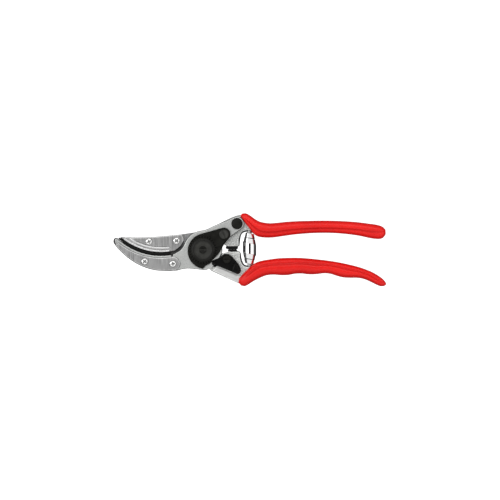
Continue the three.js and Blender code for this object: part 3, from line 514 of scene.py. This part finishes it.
def crossing(centre, radius, y):
    """The angle at which a circle crosses a height on its left side."""
    return 180 + np.degrees(np.arcsin((centre[1] - y) / radius))


def heights(node):
    """A CAD node's lowest and highest point in millimetres."""
    low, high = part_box(node)
    return low[2] / MM, high[2] / MM


counter_outline = loop(
    arc(JAW, COUNTER_EDGE_R, crossing(JAW, COUNTER_EDGE_R, 9.2), 279.6, 60),
    [(-24.0, -5.6), (-23.3, -5.6), (-23.1, -3.4)],
    curve([(-21.0, -2.4), (-17.6, -0.2), (-15.4, 2.4), (-14.4, 4.4)], 6),
    arc((0, 0), BOSS_R, 161, 100, 24),
    curve([(-1.4, 14.75), (2.7, 15.7), (7.3, 17.9), (12.0, 20.0)], 6),
    arc(BOLT, 5.4, 114, -53, 28),
    [(20.9, 9.7), (16.5, 4.5)],
    arc((0, 0), BOSS_R + 0.1, 8, -8, 6),
    curve([(14.3, -3.0), (12.3, -6.0), (8.3, -8.1)], 4),
    curve([(7.3, -9.0), (7.0, -10.2), (7.6, -11.2), (8.6, -12.0)], 4),
    curve([(7.9, -13.2), (6.6, -14.4), (5.0, -15.3)], 4),
    curve([(0.0, -15.5), (-5.0, -14.9), (-11.0, -14.4), (-16.0, -14.9), (-21.0, -16.1),
           (-31.0, -16.3), (-40.0, -15.0), (-49.0, -11.7), (-57.5, -6.4), (-65.0, 0.4),
           (-68.7, 5.2)]),
    curve([(-69.0, 6.6), (-68.6, 8.2), (-67.4, 9.2)], 4),
)
ground, shader, place = finish("ground_steel", 0.42, 1.0)
grain = noise(place, 0.6, 3)
cloud = noise(place, 12, 3)
mottle = grain * 0.75 + cloud * 0.25
low, high = heights("counter_blade")
counter_top = high
base = mottle.step(0.3, 0.7).mix((0.44, 0.45, 0.44), (0.66, 0.67, 0.655))
# Painted shade: the point is painted darker, for the shade on its steep bevel.
point = 1.0 - place.axis("X").step(-69.5 * MM, -64 * MM)
tip_painted_shade = (point * 0.6).mix(base, (0.2, 0.2, 0.2))
# Painted shade: the walls are painted near black, for the dark shaded edges round the plate.
wall(place, low, high).mix(tip_painted_shade, (0.10, 0.10, 0.10)).into(shader.inputs["Base Color"])
(grain * 0.2 + 0.34).into(shader.inputs["Roughness"])
bump(shader, grain, 0.02)
edge_line = near(counter_outline, 0.4, [
    (*COUNTER_BACK, 7, 0.4), (15, 0, 3, 0.3), (12, -6, 2.5, -0.3), (8, -13, 2, 0.4),
    (*COUNTER_POINT, 3.5, 1.0),
])
edge_draft = near(counter_outline, 1.3, [(*COUNTER_BACK, 7, 0.9), (*COUNTER_POINT, 3.5, 1.4)])
edge_bevel = near(counter_outline, 0.12, [(*COUNTER_BACK, 7, -0.09)])
counter_levels = drafted(low, high, edge_draft, edge_line, edge_bevel)
counter = plate("counter_plate", counter_outline, counter_levels, CRISP)
put(counter, ground, "counter_half", "blade_steel", "counter_blade")

# ---------------------------------------------------------------- cutting blade
# The upper jaw's blade, behind the counter blade: hardened steel, flat in front and ground to its
# edge with a long bevel at the back. Its round boss turns on the pivot and a tang is screwed to
# the lower handle.
BLADE_EDGE = (-31.5, 40.2)
BLADE_EDGE_R = 46.1
GRIND_WIDTH = 7.5
GRIND_REAR, GRIND_FRONT = -21, -65
blade_outline = loop(
    arc(BLADE_EDGE, BLADE_EDGE_R, crossing(BLADE_EDGE, BLADE_EDGE_R, 9.0), 281, 60),
    curve([(-20.2, -3.9), (-16.6, -3.6), (-13.0, -4.4)], 5),
    arc((0, 0), BLADE_BOSS_R, 202, 294, 24),
    [(9.4, -13.6), (13.4, -10.2)],
    arc((0, 0), BLADE_BOSS_R, -22, 88, 30),
    curve([(-5.2, 13.5), (-9.0, 13.1), (-16.0, 12.0), (-24.0, 11.0), (-33.0, 10.1)], 5),
    curve([(-41.0, 9.5), (-52.0, 9.3), (-60.0, 9.5), (-64.9, 9.4)], 5),
)
low, high = heights("cutting_blade")
from_edge = np.abs(np.linalg.norm(blade_outline - BLADE_EDGE, axis=1) - BLADE_EDGE_R)
reach = blade_outline[:, 0]
on_edge = (from_edge < 0.05) & (reach < GRIND_REAR)
ground_off = np.where(on_edge, np.clip((GRIND_REAR - reach) / 6, 0, 1), 0)
ground_off *= np.clip((reach - GRIND_FRONT) / 9, 0, 1)
levels = [(low, 0.25 + GRIND_WIDTH * ground_off), (low + 0.25, 0.9 * GRIND_WIDTH * ground_off)]
levels += [(high - 0.15, 0.05 * ground_off), (high, 0.12)]
blade = plate("cutting_plate", blade_outline, levels, 20)
hardened, shader, place = finish("hardened_steel", 0.3, 1.0)
grain = noise(place, 0.35, 3, (1, 8, 1))
cloud = noise(place, 10, 2)
mottle = grain * 0.6 + cloud * 0.4
base = mottle.step(0.25, 0.75).mix((0.36, 0.36, 0.365), (0.56, 0.56, 0.56))
# Painted shadow: the blade is painted dark where y is below about 1 to 6 mm, where it shows in the
# shade between the hold plate's end and the counter blade's boss.
painted_shadow_near_boss = place.axis("Y").step(1 * MM, 6 * MM).mix((0.12, 0.12, 0.12), base)
painted_shadow_near_boss.into(shader.inputs["Base Color"])
(grain * 0.2 + 0.22).into(shader.inputs["Roughness"])
bump(shader, grain, 0.012)
put(blade, hardened, "blade_half", "blade_steel", "cutting_blade")

# ---------------------------------------------------------------- hold plates
# Two ground steel plates that grip the cut stem, brushed and screwed on. The upper one is thick and
# has a groove between two bright rails along its arc. The lower one is set back from the counter
# blade's edge.
HOLD_EDGE_R = 46.8
LOWER_HOLD_R = 50.9
brushed, shader, place = finish("brushed_plate", 0.34, 1.0)
lines = noise(place, 0.5, 4, (1, 26, 26))
cloud = noise(place, 14, 2)
mottle = (lines * 0.65 + cloud * 0.35).step(0.3, 0.72)
base = mottle.mix((0.40, 0.40, 0.40), (0.66, 0.66, 0.655))
upper_low, upper_high = heights("upper_hold_plate")
lower_low, lower_high = heights("lower_hold_plate")
# Painted shade: the walls of both hold plates are painted near black, for their dark shaded edges.
walls = wall(place, upper_low - 1, upper_low + 2) + wall(place, lower_low + 0.1, lower_high)
walls.mix(base, (0.08, 0.08, 0.08)).into(shader.inputs["Base Color"])
(lines * 0.25 + 0.22).into(shader.inputs["Roughness"])
bump(shader, lines, 0.02)

upper_hold = loop(
    arc(JAW, HOLD_EDGE_R, crossing(JAW, HOLD_EDGE_R, 9.4), 278.2, 70),
    curve([(-24.6, -1.75), (-23.2, -1.7), (-21.5, -1.1), (-19.4, 0.3), (-18.0, 1.5)], 4),
    arc((-21.9, 7.3), 7.1, -42, 38, 24),
    curve([(-17.6, 11.8), (-26.0, 11.0), (-36.0, 10.1), (-42.0, 9.7), (-52.0, 9.6), (-60.0, 9.8),
           (-63.4, 9.8)], 6),
)
LIP_R, LIP_SINK = 42.7, 1.0
LIP_FRONT, LIP_REAR, HOLD_POINT = -56.5, -24.0, -64.5
# Along the arc the floor is sunk between the rails. The bevel narrows towards the point, and the
# rear end leans in more.
face = upper_high - 0.12
from_arc = np.abs(np.linalg.norm(upper_hold - JAW, axis=1) - HOLD_EDGE_R)
reach = upper_hold[:, 0]
lip = np.clip((reach - LIP_FRONT) / 4, 0, 1) * np.clip((LIP_REAR - reach) / 2, 0, 1)
lip = np.where(from_arc < 0.02, lip**2 * (3 - 2 * lip), 0)
point = np.clip((reach - HOLD_POINT) / 7, 0.04, 1)
rear = np.clip((13 - 0.4 * (reach + 30) - upper_hold[:, 1]) / 2, 0, 1)
rear *= np.clip((reach + 27) / 3, 0, 1)
lean = 0.3 * point + 0.5 * rear
bevel = lean + 0.44 * point * (1 - 0.6 * rear)
floor_in = bevel + 0.01 * point + (HOLD_EDGE_R - LIP_R - 0.75) * lip
levels = [(upper_low, 0.0), (face - 1.6, 0.0), (face - 0.15 - (LIP_SINK - 0.1) * lip, lean)]
levels += [(face - LIP_SINK * lip, bevel), (face - LIP_SINK * lip, floor_in)]
levels += [(face, floor_in + 0.01 * point + 0.25 * lip)]
upper_plate = plate("upper_hold", upper_hold, levels, CRISP)
put(upper_plate, brushed, "blade_half", "hold_plate_steel", "upper_hold_plate")
# Painted highlight: the rails are polished steel, painted lighter than the plate so that they read
# as the highlights on the two ridges.
polished, shader, place = finish("rail_painted_highlight", 0.38, 1.0)
grain = noise(place, 0.8, 2)
grain.step(0.3, 0.7).mix((0.72, 0.72, 0.72), (0.88, 0.88, 0.88)).into(shader.inputs["Base Color"])
rail_levels = [(upper_high - 1.6, 0), (upper_high - 0.1, 0.1), (upper_high, 0.35)]
for name, inner, outer in (
    ("upper_hold_inner_rail", 42.9, 44.1),
    ("upper_hold_outer_rail", 45.3, 46.5),
):
    rail_line = loop(
        arc(JAW, outer, crossing(JAW, outer, 8.6), 278.0, 60),
        arc(JAW, inner, 278.0, crossing(JAW, inner, 8.6), 60),
    )
    rail = plate(name, rail_line, rail_levels, CRISP)
    put(rail, polished, "blade_half", "hold_plate_steel")

lower_hold = loop(
    arc(JAW, LOWER_HOLD_R, crossing(JAW, LOWER_HOLD_R, 5.6), 278.6, 60),
    arc((-23.1, -10.8), 5.5, 76, -80, 24),
    curve([(-25.0, -16.0), (-32.0, -16.1), (-40.0, -14.7), (-49.0, -11.4), (-57.5, -6.1),
           (-64.6, 0.3), (-67.4, 3.6)]),
)
LOWER_HOLD_DRAFT, LOWER_HOLD_LEAN, LOWER_HOLD_BEVEL = 0.9, 0.25, 0.18
levels = drafted(lower_low, lower_high, LOWER_HOLD_DRAFT, LOWER_HOLD_LEAN, LOWER_HOLD_BEVEL)
lower_plate = plate("lower_hold", lower_hold, levels, CRISP)
put(lower_plate, brushed, "counter_half", "hold_plate_steel", "lower_hold_plate")

# ---------------------------------------------------------------- gripping strip
# A black rubber strip let into the upper hold plate's edge, which presses the stem on the counter
# blade.
STRIP_R, STRIP_W = 49.0, 2.0
rubber, shader, place = finish("black_rubber", 0.62, 0.0, specular=0.15)
skin = noise(place, 1.1, 3)
base = skin.step(0.3, 0.7).mix((0.002, 0.002, 0.002), (0.006, 0.006, 0.006))
base.into(shader.inputs["Base Color"])
(skin * 0.25 + 0.5).into(shader.inputs["Roughness"])
bump(shader, skin, 0.06)
strip_line = loop(
    arc(JAW, STRIP_R, crossing(JAW, STRIP_R, 8.3), 278.6, 60),
    arc(JAW, STRIP_R - STRIP_W, 278.4, crossing(JAW, STRIP_R - STRIP_W, 8.9), 60),
)
low, high = heights("grip_strip")
strip = plate("gripping_strip", strip_line, rounded(low, high, 0.45))
put(strip, rubber, "blade_half", "black_rubber", "grip_strip")

# ---------------------------------------------------------------- hold plate screws
# Four nickel-plated screws with low domed heads and cross recesses, two through each hold plate.
# Each head stands in a shallow round seat that is cut into the plate.
HEAD_R, HEAD_RISE, HEAD_SHANK_R = 2.4, 1.1, 1.3
SEAT_UNDER_TOP, SEAT_SINK = 1.15, 0.5
RECESS_LENGTH, RECESS_WIDTH, RECESS_DEPTH = 3.5, 0.62, 0.75
nickel, shader, place = finish("nickel", 0.16, 1.0)
cloud = noise(place, 1.4, 2)
cloud.step(0.3, 0.7).mix((0.80, 0.80, 0.79), (0.93, 0.93, 0.92)).into(shader.inputs["Base Color"])
(cloud * 0.16 + 0.08).into(shader.inputs["Roughness"])


def turned(name, centre, profile, columns=48):
    """A profile of radius and height, turned about an upright axis."""
    profile = np.array(profile, float)
    turn = np.linspace(0, 2 * np.pi, columns, endpoint=False)
    radius = profile[:, 0, None]
    x = centre[0] + radius * np.cos(turn)
    y = centre[1] + radius * np.sin(turn)
    return surface(name, np.stack([x, y, np.broadcast_to(profile[:, 1, None], x.shape)], -1))


def bar(centre, length, width, angle, low, high):
    """A square bar for cutting a slot."""
    turn = np.radians(angle)
    along, across = np.array([np.cos(turn), np.sin(turn)]), np.array([-np.sin(turn), np.cos(turn)])
    ends = np.array([-1, 1, 1, -1])[:, None] * along * length / 2
    sides = np.array([-1, -1, 1, 1])[:, None] * across * width / 2
    flat = np.add(centre, ends + sides)
    return surface("bar", np.array([np.column_stack([flat, np.full(4, z)]) for z in (low, high)]))


def dome(radius, low, rise, steps=6):
    """A short upright edge and then a shallow dome, as radius and height."""
    turn = np.linspace(0, np.pi / 2, steps + 1)[:-1]
    crown = [(radius * np.cos(t) ** 0.8, low + rise * (0.4 + 0.6 * np.sin(t))) for t in turn]
    return [(radius * 0.86, low), (radius, low + rise * 0.12)] + crown + [(0.05, low + rise)]


def carve(piece, cutter):
    """Cuts the cutter out of the piece and removes the cutter."""
    cut = piece.modifiers.new("cut", "BOOLEAN")
    cut.object = cutter
    cut.solver = "EXACT"
    seen = piece.evaluated_get(bpy.context.evaluated_depsgraph_get())
    mesh = bpy.data.meshes.new_from_object(seen)
    piece.modifiers.clear()
    piece.data = mesh
    bpy.data.objects.remove(cutter)


def cross_screw(node, body, angle, held):
    """A screw with a cross recess, in a shallow round seat cut into the plate that it holds."""
    low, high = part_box(node)
    centre = ((low[0] + high[0]) / 2 / MM, (low[1] + high[1]) / 2 / MM)
    top = high[2] / MM
    seat = top - SEAT_UNDER_TOP
    sunk = seat - SEAT_SINK
    under = sunk + 0.02
    shank = [(HEAD_SHANK_R, low[2] / MM), (HEAD_SHANK_R, under), (HEAD_R - 0.2, under)]
    name = node.replace("hold_screw", "cross_screw")
    screw = turned(name, centre, shank + dome(HEAD_R, seat, HEAD_RISE))
    for way in (angle, angle + 90):
        carve(screw, bar(centre, RECESS_LENGTH, RECESS_WIDTH, way, top - RECESS_DEPTH, top + 1))
    put(screw, nickel, body, "bright_screw", node)
    carve(held, turned("seat", centre, [(HEAD_R + 0.25, sunk), (HEAD_R + 0.35, top)]))


cross_screw("upper_hold_screw_front", "blade_half", 20, upper_plate)
cross_screw("upper_hold_screw_rear", "blade_half", 48, upper_plate)
cross_screw("lower_hold_screw_front", "counter_half", 55, lower_plate)
cross_screw("lower_hold_screw_rear", "counter_half", 8, lower_plate)

# ---------------------------------------------------------------- pivot
# A black clamp plate shaped like a drop lies on the counter blade. On it a toothed nut closes the
# pivot, and a toothed segment under a slotted screw keeps the nut from turning.
LOCK = (16.1, 11.9)
BLACKENED = (0.003, 0.003, 0.002), (0.010, 0.010, 0.008)
# Lighter black tones, painted on as sheen.
PAINTED_SHEEN = (0.018, 0.018, 0.016), (0.040, 0.040, 0.036)
blackened, shader, place = finish("blackened_steel", 0.36, 0.0, specular=0.13)
grain = noise(place, 0.4, 3)
cloud = noise(place, 6, 3)
mottle = (grain * 0.4 + cloud * 0.6).step(0.3, 0.7)
mottle.mix(*BLACKENED).into(shader.inputs["Base Color"])
(grain * 0.25 + cloud * 0.2 + 0.2).into(shader.inputs["Roughness"])
bump(shader, grain, 0.03)
clamp_outline = loop(
    arc((2.0, -1.0), 13.7, -98, -253, 60),
    arc(LOCK, 5.1, 107, -20, 24),
    curve([(16.9, 5.0), (15.4, 2.6), (12.0, -3.2), (7.7, -7.8), (6.0, -10.2), (1.9, -12.4)], 4),
)
low, high = heights("clamp_plate")
clamp = plate("clamp_drop", clamp_outline, rounded(low, high, 0.3, 3))
put(clamp, blackened, "counter_half", "black_steel", "clamp_plate")

TEETH = 30
TOOTH_STEEPNESS = 2.2
low, high = heights("pivot_nut")
turn = np.linspace(0, 2 * np.pi, TEETH * 8, endpoint=False)
tooth = np.clip(np.sin(turn * TEETH) * TOOTH_STEEPNESS, -1, 1)
# Each ring of the nut is its radius, how far the teeth stand out and in from it, and its height.
nut_rings = np.array([
    (9.6, 0.7, low), (9.9, 0.75, low + 0.2), (9.9, 0.75, high - 0.9), (9.5, 0.7, high - 0.6),
    (8.7, 0.0, high - 0.55), (8.5, 0.0, high - 0.25), (8.0, 0.0, high), (7.0, 0.0, high),
    (6.5, 0.0, high - 0.3), (5.8, 0.0, high - 0.42), (3.0, 0.0, high - 0.3), (0.1, 0.0, high - 0.3),
])
radius = nut_rings[:, 0, None] + nut_rings[:, 1, None] * tooth
up = np.broadcast_to(nut_rings[:, 2, None], radius.shape)
nut = surface("toothed_nut", np.stack([radius * np.cos(turn), radius * np.sin(turn), up], -1), 30)
dished, shader, place = finish("turned_black_steel", 0.34, 0.0, specular=0.21)
grain = noise(place, 0.4, 3)
cloud = noise(place, 5, 2)
mottle = (grain * 0.4 + cloud * 0.6).step(0.3, 0.7)
from_pivot = (place * (1, 1, 0)).length()
moved = place.node("ShaderNodeMapping", inputs={0: place, 1: (-LOCK[0] * MM, -LOCK[1] * MM, 0)})
from_lock = (moved * (1, 1, 0)).length()
# Painted sheen: the nut's disc and the lock screw's head are painted lighter than the black round
# them.
away = from_pivot.step(5.0 * MM, 7.6 * MM) * from_lock.step(3.0 * MM, 3.9 * MM)
away.mix(mottle.mix(*PAINTED_SHEEN), mottle.mix(*BLACKENED)).into(shader.inputs["Base Color"])
(grain * 0.2 + 0.26).into(shader.inputs["Roughness"])
put(nut, dished, "counter_half", "black_steel", "pivot_nut")

STUD_HEAD_R, STUD_HEAD_T = 9.0, 2.0
STUD_R, STUD_TOP, STUD_NECK_R = 4.0, 9.0, 3.0
HEXAGON_R, HEXAGON_DEPTH = 3.4, 1.2
low, high = heights("pivot_bolt")
bolt = turned("pivot_stud", (0, 0), [
    (STUD_HEAD_R - 0.7, low), (STUD_HEAD_R - 0.2, low + 0.15), (STUD_HEAD_R, low + 0.5),
    (STUD_HEAD_R, low + STUD_HEAD_T - 0.2), (STUD_HEAD_R - 0.2, low + STUD_HEAD_T),
    (STUD_R, low + STUD_HEAD_T), (STUD_R, STUD_TOP), (STUD_NECK_R, STUD_TOP),
    (STUD_NECK_R, high - 0.3), (STUD_NECK_R - 0.25, high), (0.1, high),
], 72)
carve(bolt, bar((0, 0), 6.4, 0.7, 0, high - 0.35, high + 1))
hexagon = arc((0, 0), HEXAGON_R, 0, 300, 5)
socket = [np.column_stack([hexagon, np.full(6, z)]) for z in (-1, HEXAGON_DEPTH)]
carve(bolt, surface("hexagon", np.array(socket)))
put(bolt, blackened, "counter_half", "black_steel", "pivot_bolt")

LOCK_SHANK_R, LOCK_HEAD_R, LOCK_HEAD_T = 1.9, 3.8, 1.15
LOCK_SLOT_W, LOCK_SLOT_ANGLE, SLOT_DEPTH = 0.85, 108, 0.5
low, high = heights("lock_screw")
lock = turned("lock_screw_slotted", LOCK, [
    (LOCK_SHANK_R, low), (LOCK_SHANK_R, high - LOCK_HEAD_T), (3.5, high - LOCK_HEAD_T),
    (LOCK_HEAD_R, high - 0.95), (LOCK_HEAD_R, high - 0.45), (3.45, high - 0.08), (3.2, high),
    (0.1, high),
])
carve(lock, bar(LOCK, 9, LOCK_SLOT_W, LOCK_SLOT_ANGLE, high - SLOT_DEPTH, high + 1))
put(lock, dished, "counter_half", "black_steel", "lock_screw")

DOME_SHANK_R, DOME_HEAD_R = 2.5, 4.35
low, high = heights("counter_blade_bolt")
head_low = counter_top + 0.03
shank = [(DOME_SHANK_R, low), (DOME_SHANK_R, head_low)]
dome_bolt = turned("frame_bolt", BOLT, shank + dome(DOME_HEAD_R, head_low, high - head_low), 56)
put(dome_bolt, blackened, "counter_half", "black_steel", "counter_blade_bolt")

# ---------------------------------------------------------------- catch
# A black lever on the lower handle, thumbed from its tail. Its nose hooks behind a tooth of the
# counter blade's boss to hold the shears closed. A slotted post with a low head holds it.
CATCH = (18.3, -7.4)
CATCH_T, CATCH_EDGE = 2.6, 0.7
PAD_DEPTH, PAD_EDGE = 1.6, 1.3
catch_outline = loop(
    arc((8.6, -9.7), 1.1, 240, 110, 10),
    curve([(12.2, -6.9), (14.2, -4.9), (15.4, -3.8), (17.6, -3.1), (20.9, -4.0), (24.8, -7.8),
           (27.4, -11.2), (29.0, -14.6), (29.1, -16.4)], 6),
    curve([(28.4, -17.9), (26.5, -18.7), (22.2, -16.9), (17.1, -14.8), (10.8, -12.3)], 6),
)


def spun(outline, centre, angle):
    """The outline turned about a point by an angle in degrees."""
    turn = np.radians(angle)
    away = outline - centre
    across = away[:, 0] * np.cos(turn) - away[:, 1] * np.sin(turn)
    up = away[:, 0] * np.sin(turn) + away[:, 1] * np.cos(turn)
    return np.add(centre, np.column_stack([across, up]))


# The counter blade's tooth is relieved where the lever stands when the handles are fully open.
FULL_OPENING, FULL_SWING = 30, 24
room = spun(spun(inset(catch_outline, -0.15), CATCH, FULL_SWING), (0, 0), -FULL_OPENING)
relief = [np.column_stack([room, np.full(len(room), z)]) for z in (FRAME_HIGH, counter_top + 1)]
carve(counter, surface("relief", np.array(relief)))
pad_outline = loop(
    curve([(25.0, -9.6), (26.9, -12.2), (28.2, -15.2), (28.2, -16.5)], 6),
    curve([(27.4, -17.6), (25.6, -17.6), (22.6, -16.2), (22.6, -14.0), (23.6, -11.2)], 6),
)
low, high = heights("thumb_catch")
catch_top = low + CATCH_T
lever, shader, place = finish("black_lever", 0.3, 0.0, specular=0.1)
grain = noise(place, 0.5, 3)
cloud = noise(place, 5, 2)
mottle = (grain * 0.5 + cloud * 0.5).step(0.3, 0.7)
mottle.mix((0.002, 0.002, 0.002), (0.005, 0.005, 0.005)).into(shader.inputs["Base Color"])
(grain * 0.2 + cloud * 0.15 + 0.14).into(shader.inputs["Roughness"])
bump(shader, grain, 0.025)
catch = plate("catch_lever", catch_outline, rounded(low, catch_top, CATCH_EDGE, 5))
put(catch, lever, "catch", "black_steel", "thumb_catch")
pad = plate("catch_thumb_pad", pad_outline, rounded(catch_top - PAD_DEPTH, high, PAD_EDGE, 6))
put(pad, lever, "catch", "black_steel")

POST_R, POST_HEAD_R, POST_HEAD_T = 2.2, 3.1, 1.2
low, high = heights("catch_post")
post = turned("catch_pivot_post", CATCH, [
    (POST_R, low), (POST_R, high - POST_HEAD_T), (POST_HEAD_R - 0.2, high - POST_HEAD_T),
    (POST_HEAD_R, high - 1.0), (POST_HEAD_R, high - 0.5), (2.7, high - 0.1), (2.4, high),
    (0.1, high),
])
carve(post, bar(CATCH, 7, 0.7, 0, high - SLOT_DEPTH, high + 1))
put(post, blackened, "blade_half", "black_steel", "catch_post")

# ---------------------------------------------------------------- spring
# A barrel of flat bright strip that pushes the handles apart. The strip is widest at the middle,
# where its one large turn shows whole, and each end turn nests inside the next. It stands on a peg
# in each half of the pocket.
SPRING_TURNS = 5
SPRING_END_R, SPRING_MID_R = 2.7, 4.98
STRIP_T, BURR = 0.75, 0.1
MIDDLE_W, END_W, NARROWING = 8.2, 3.4, 0.27
CROWDING = 0.44
STRIP_LEAN = 12
low, high = (np.array(corner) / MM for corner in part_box("return_spring"))
spring_x, spring_z = (low[0] + high[0]) / 2, (low[2] + high[2]) / 2
from_middle = np.linspace(-1, 1, SPRING_TURNS * 48 + 1)
apart = np.abs(from_middle)
width = END_W + (MIDDLE_W - END_W) * np.exp(-((apart / NARROWING) ** 2))
half_length = (high[1] - low[1] - END_W) / 2
spread = (1 + CROWDING) * from_middle - CROWDING * from_middle**3
height = (high[1] + low[1]) / 2 + half_length * spread
radius = SPRING_MID_R - (SPRING_MID_R - SPRING_END_R) * apart
lean = np.sign(from_middle) * np.radians(STRIP_LEAN) * np.clip((apart - 0.12) / 0.2, 0, 1)
turn = np.pi * SPRING_TURNS * from_middle + np.pi / 2
# The strip's section is a rectangle with its corners cut: which side each point is on, and by how
# much it falls short of that side.
side = np.array([(-1, -1), (-1, -1), (1, -1), (1, -1), (1, 1), (1, 1), (-1, 1), (-1, 1)])
short = np.array([(0, 1), (1, 0), (1, 0), (0, 1), (0, 1), (1, 0), (1, 0), (0, 1)]) * BURR
thick = side[:, 0] * (STRIP_T / 2 - short[:, 0])
wide = side[:, 1] * (width[:, None] / 2 - short[:, 1])
r = radius[:, None] + thick * np.cos(lean)[:, None] - wide * np.sin(lean)[:, None]
grid = np.stack([
    spring_x + r * np.cos(turn)[:, None],
    height[:, None] + wide * np.cos(lean)[:, None] + thick * np.sin(lean)[:, None],
    spring_z + r * np.sin(turn)[:, None],
], -1)
chrome, shader, place = finish("bright_strip", 0.13, 1.0)
cloud = noise(place, 2.5, 2)
base = cloud.step(0.25, 0.75).mix((0.80, 0.80, 0.80), (0.88, 0.88, 0.88))
# Painted reflection: the strip is painted dark on its outer side towards +X, for the dark band that
# the spring reflects there.
outer = place.axis("X").step((spring_x + 2.0) * MM, (spring_x + 4.2) * MM)
outer.mix(base, (0.22, 0.22, 0.22)).into(shader.inputs["Base Color"])
(cloud * 0.06 + 0.07).into(shader.inputs["Roughness"])
spring = surface("barrel_spring", grid, 30)
spring.data.materials.append(chrome)
spring_x * MM
spring_z * MM
spring_x * MM
low[1] * MM
spring_z * MM
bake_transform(spring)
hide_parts("return_spring")

# ---------------------------------------------------------------- bumpers
# Two moulded blocks of black rubber that meet as the handles close and soften the stop. Each is
# let into a slot in its forging and tapers to the face that meets the other.
for name, body, face, shoulder, foot, head, base in (
    ("upper_bumper", "counter_half", 0.21, 1.0, 2.7, (19.6, 25.7), (17.5, 26.9)),
    ("lower_bumper", "blade_half", 0.2, -0.6, -1.3, (19.6, 25.7), (19.1, 26.5)),
):
    low, high = heights(name)
    flank = [(base[1], shoulder), (base[1], foot), (base[0], foot), (base[0], shoulder)]
    block_line = loop([(head[0], face), (head[1], face)], flank)
    block = plate(name + "_block", block_line, rounded(low, high, 0.15))
    put(block, rubber, body, "black_rubber", name)

# ---------------------------------------------------------------- small steel and bronze
# Small turned and stamped parts that keep their plain shape: the blade's screw, the counter
# blade's nut, the spring pegs, the spring washer of the catch, the lock segment, and the pivot's
# bronze bush and washer.
plain, shader, place = finish("plain_steel", 0.35, 1.0)
grain = noise(place, 0.7, 3)
grain.step(0.3, 0.7).mix((0.38, 0.38, 0.38), (0.52, 0.52, 0.51)).into(shader.inputs["Base Color"])
(grain * 0.2 + 0.25).into(shader.inputs["Roughness"])
bronze, shader, place = finish("sintered_bronze", 0.4, 1.0)
grain = noise(place, 0.5, 3)
grain.step(0.3, 0.7).mix((0.45, 0.29, 0.11), (0.60, 0.42, 0.19)).into(shader.inputs["Base Color"])
for material, nodes in (
    (plain, ("counter_blade_nut", "blade_screw", "catch_washer")),
    (plain, ("upper_spring_peg", "lower_spring_peg")),
    (bronze, ("pivot_bush", "pivot_washer")),
    (blackened, ("lock_segment",)),
):
    for node in nodes:
        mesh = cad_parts[node].data
        mesh.materials.clear()
        mesh.materials.append(material)
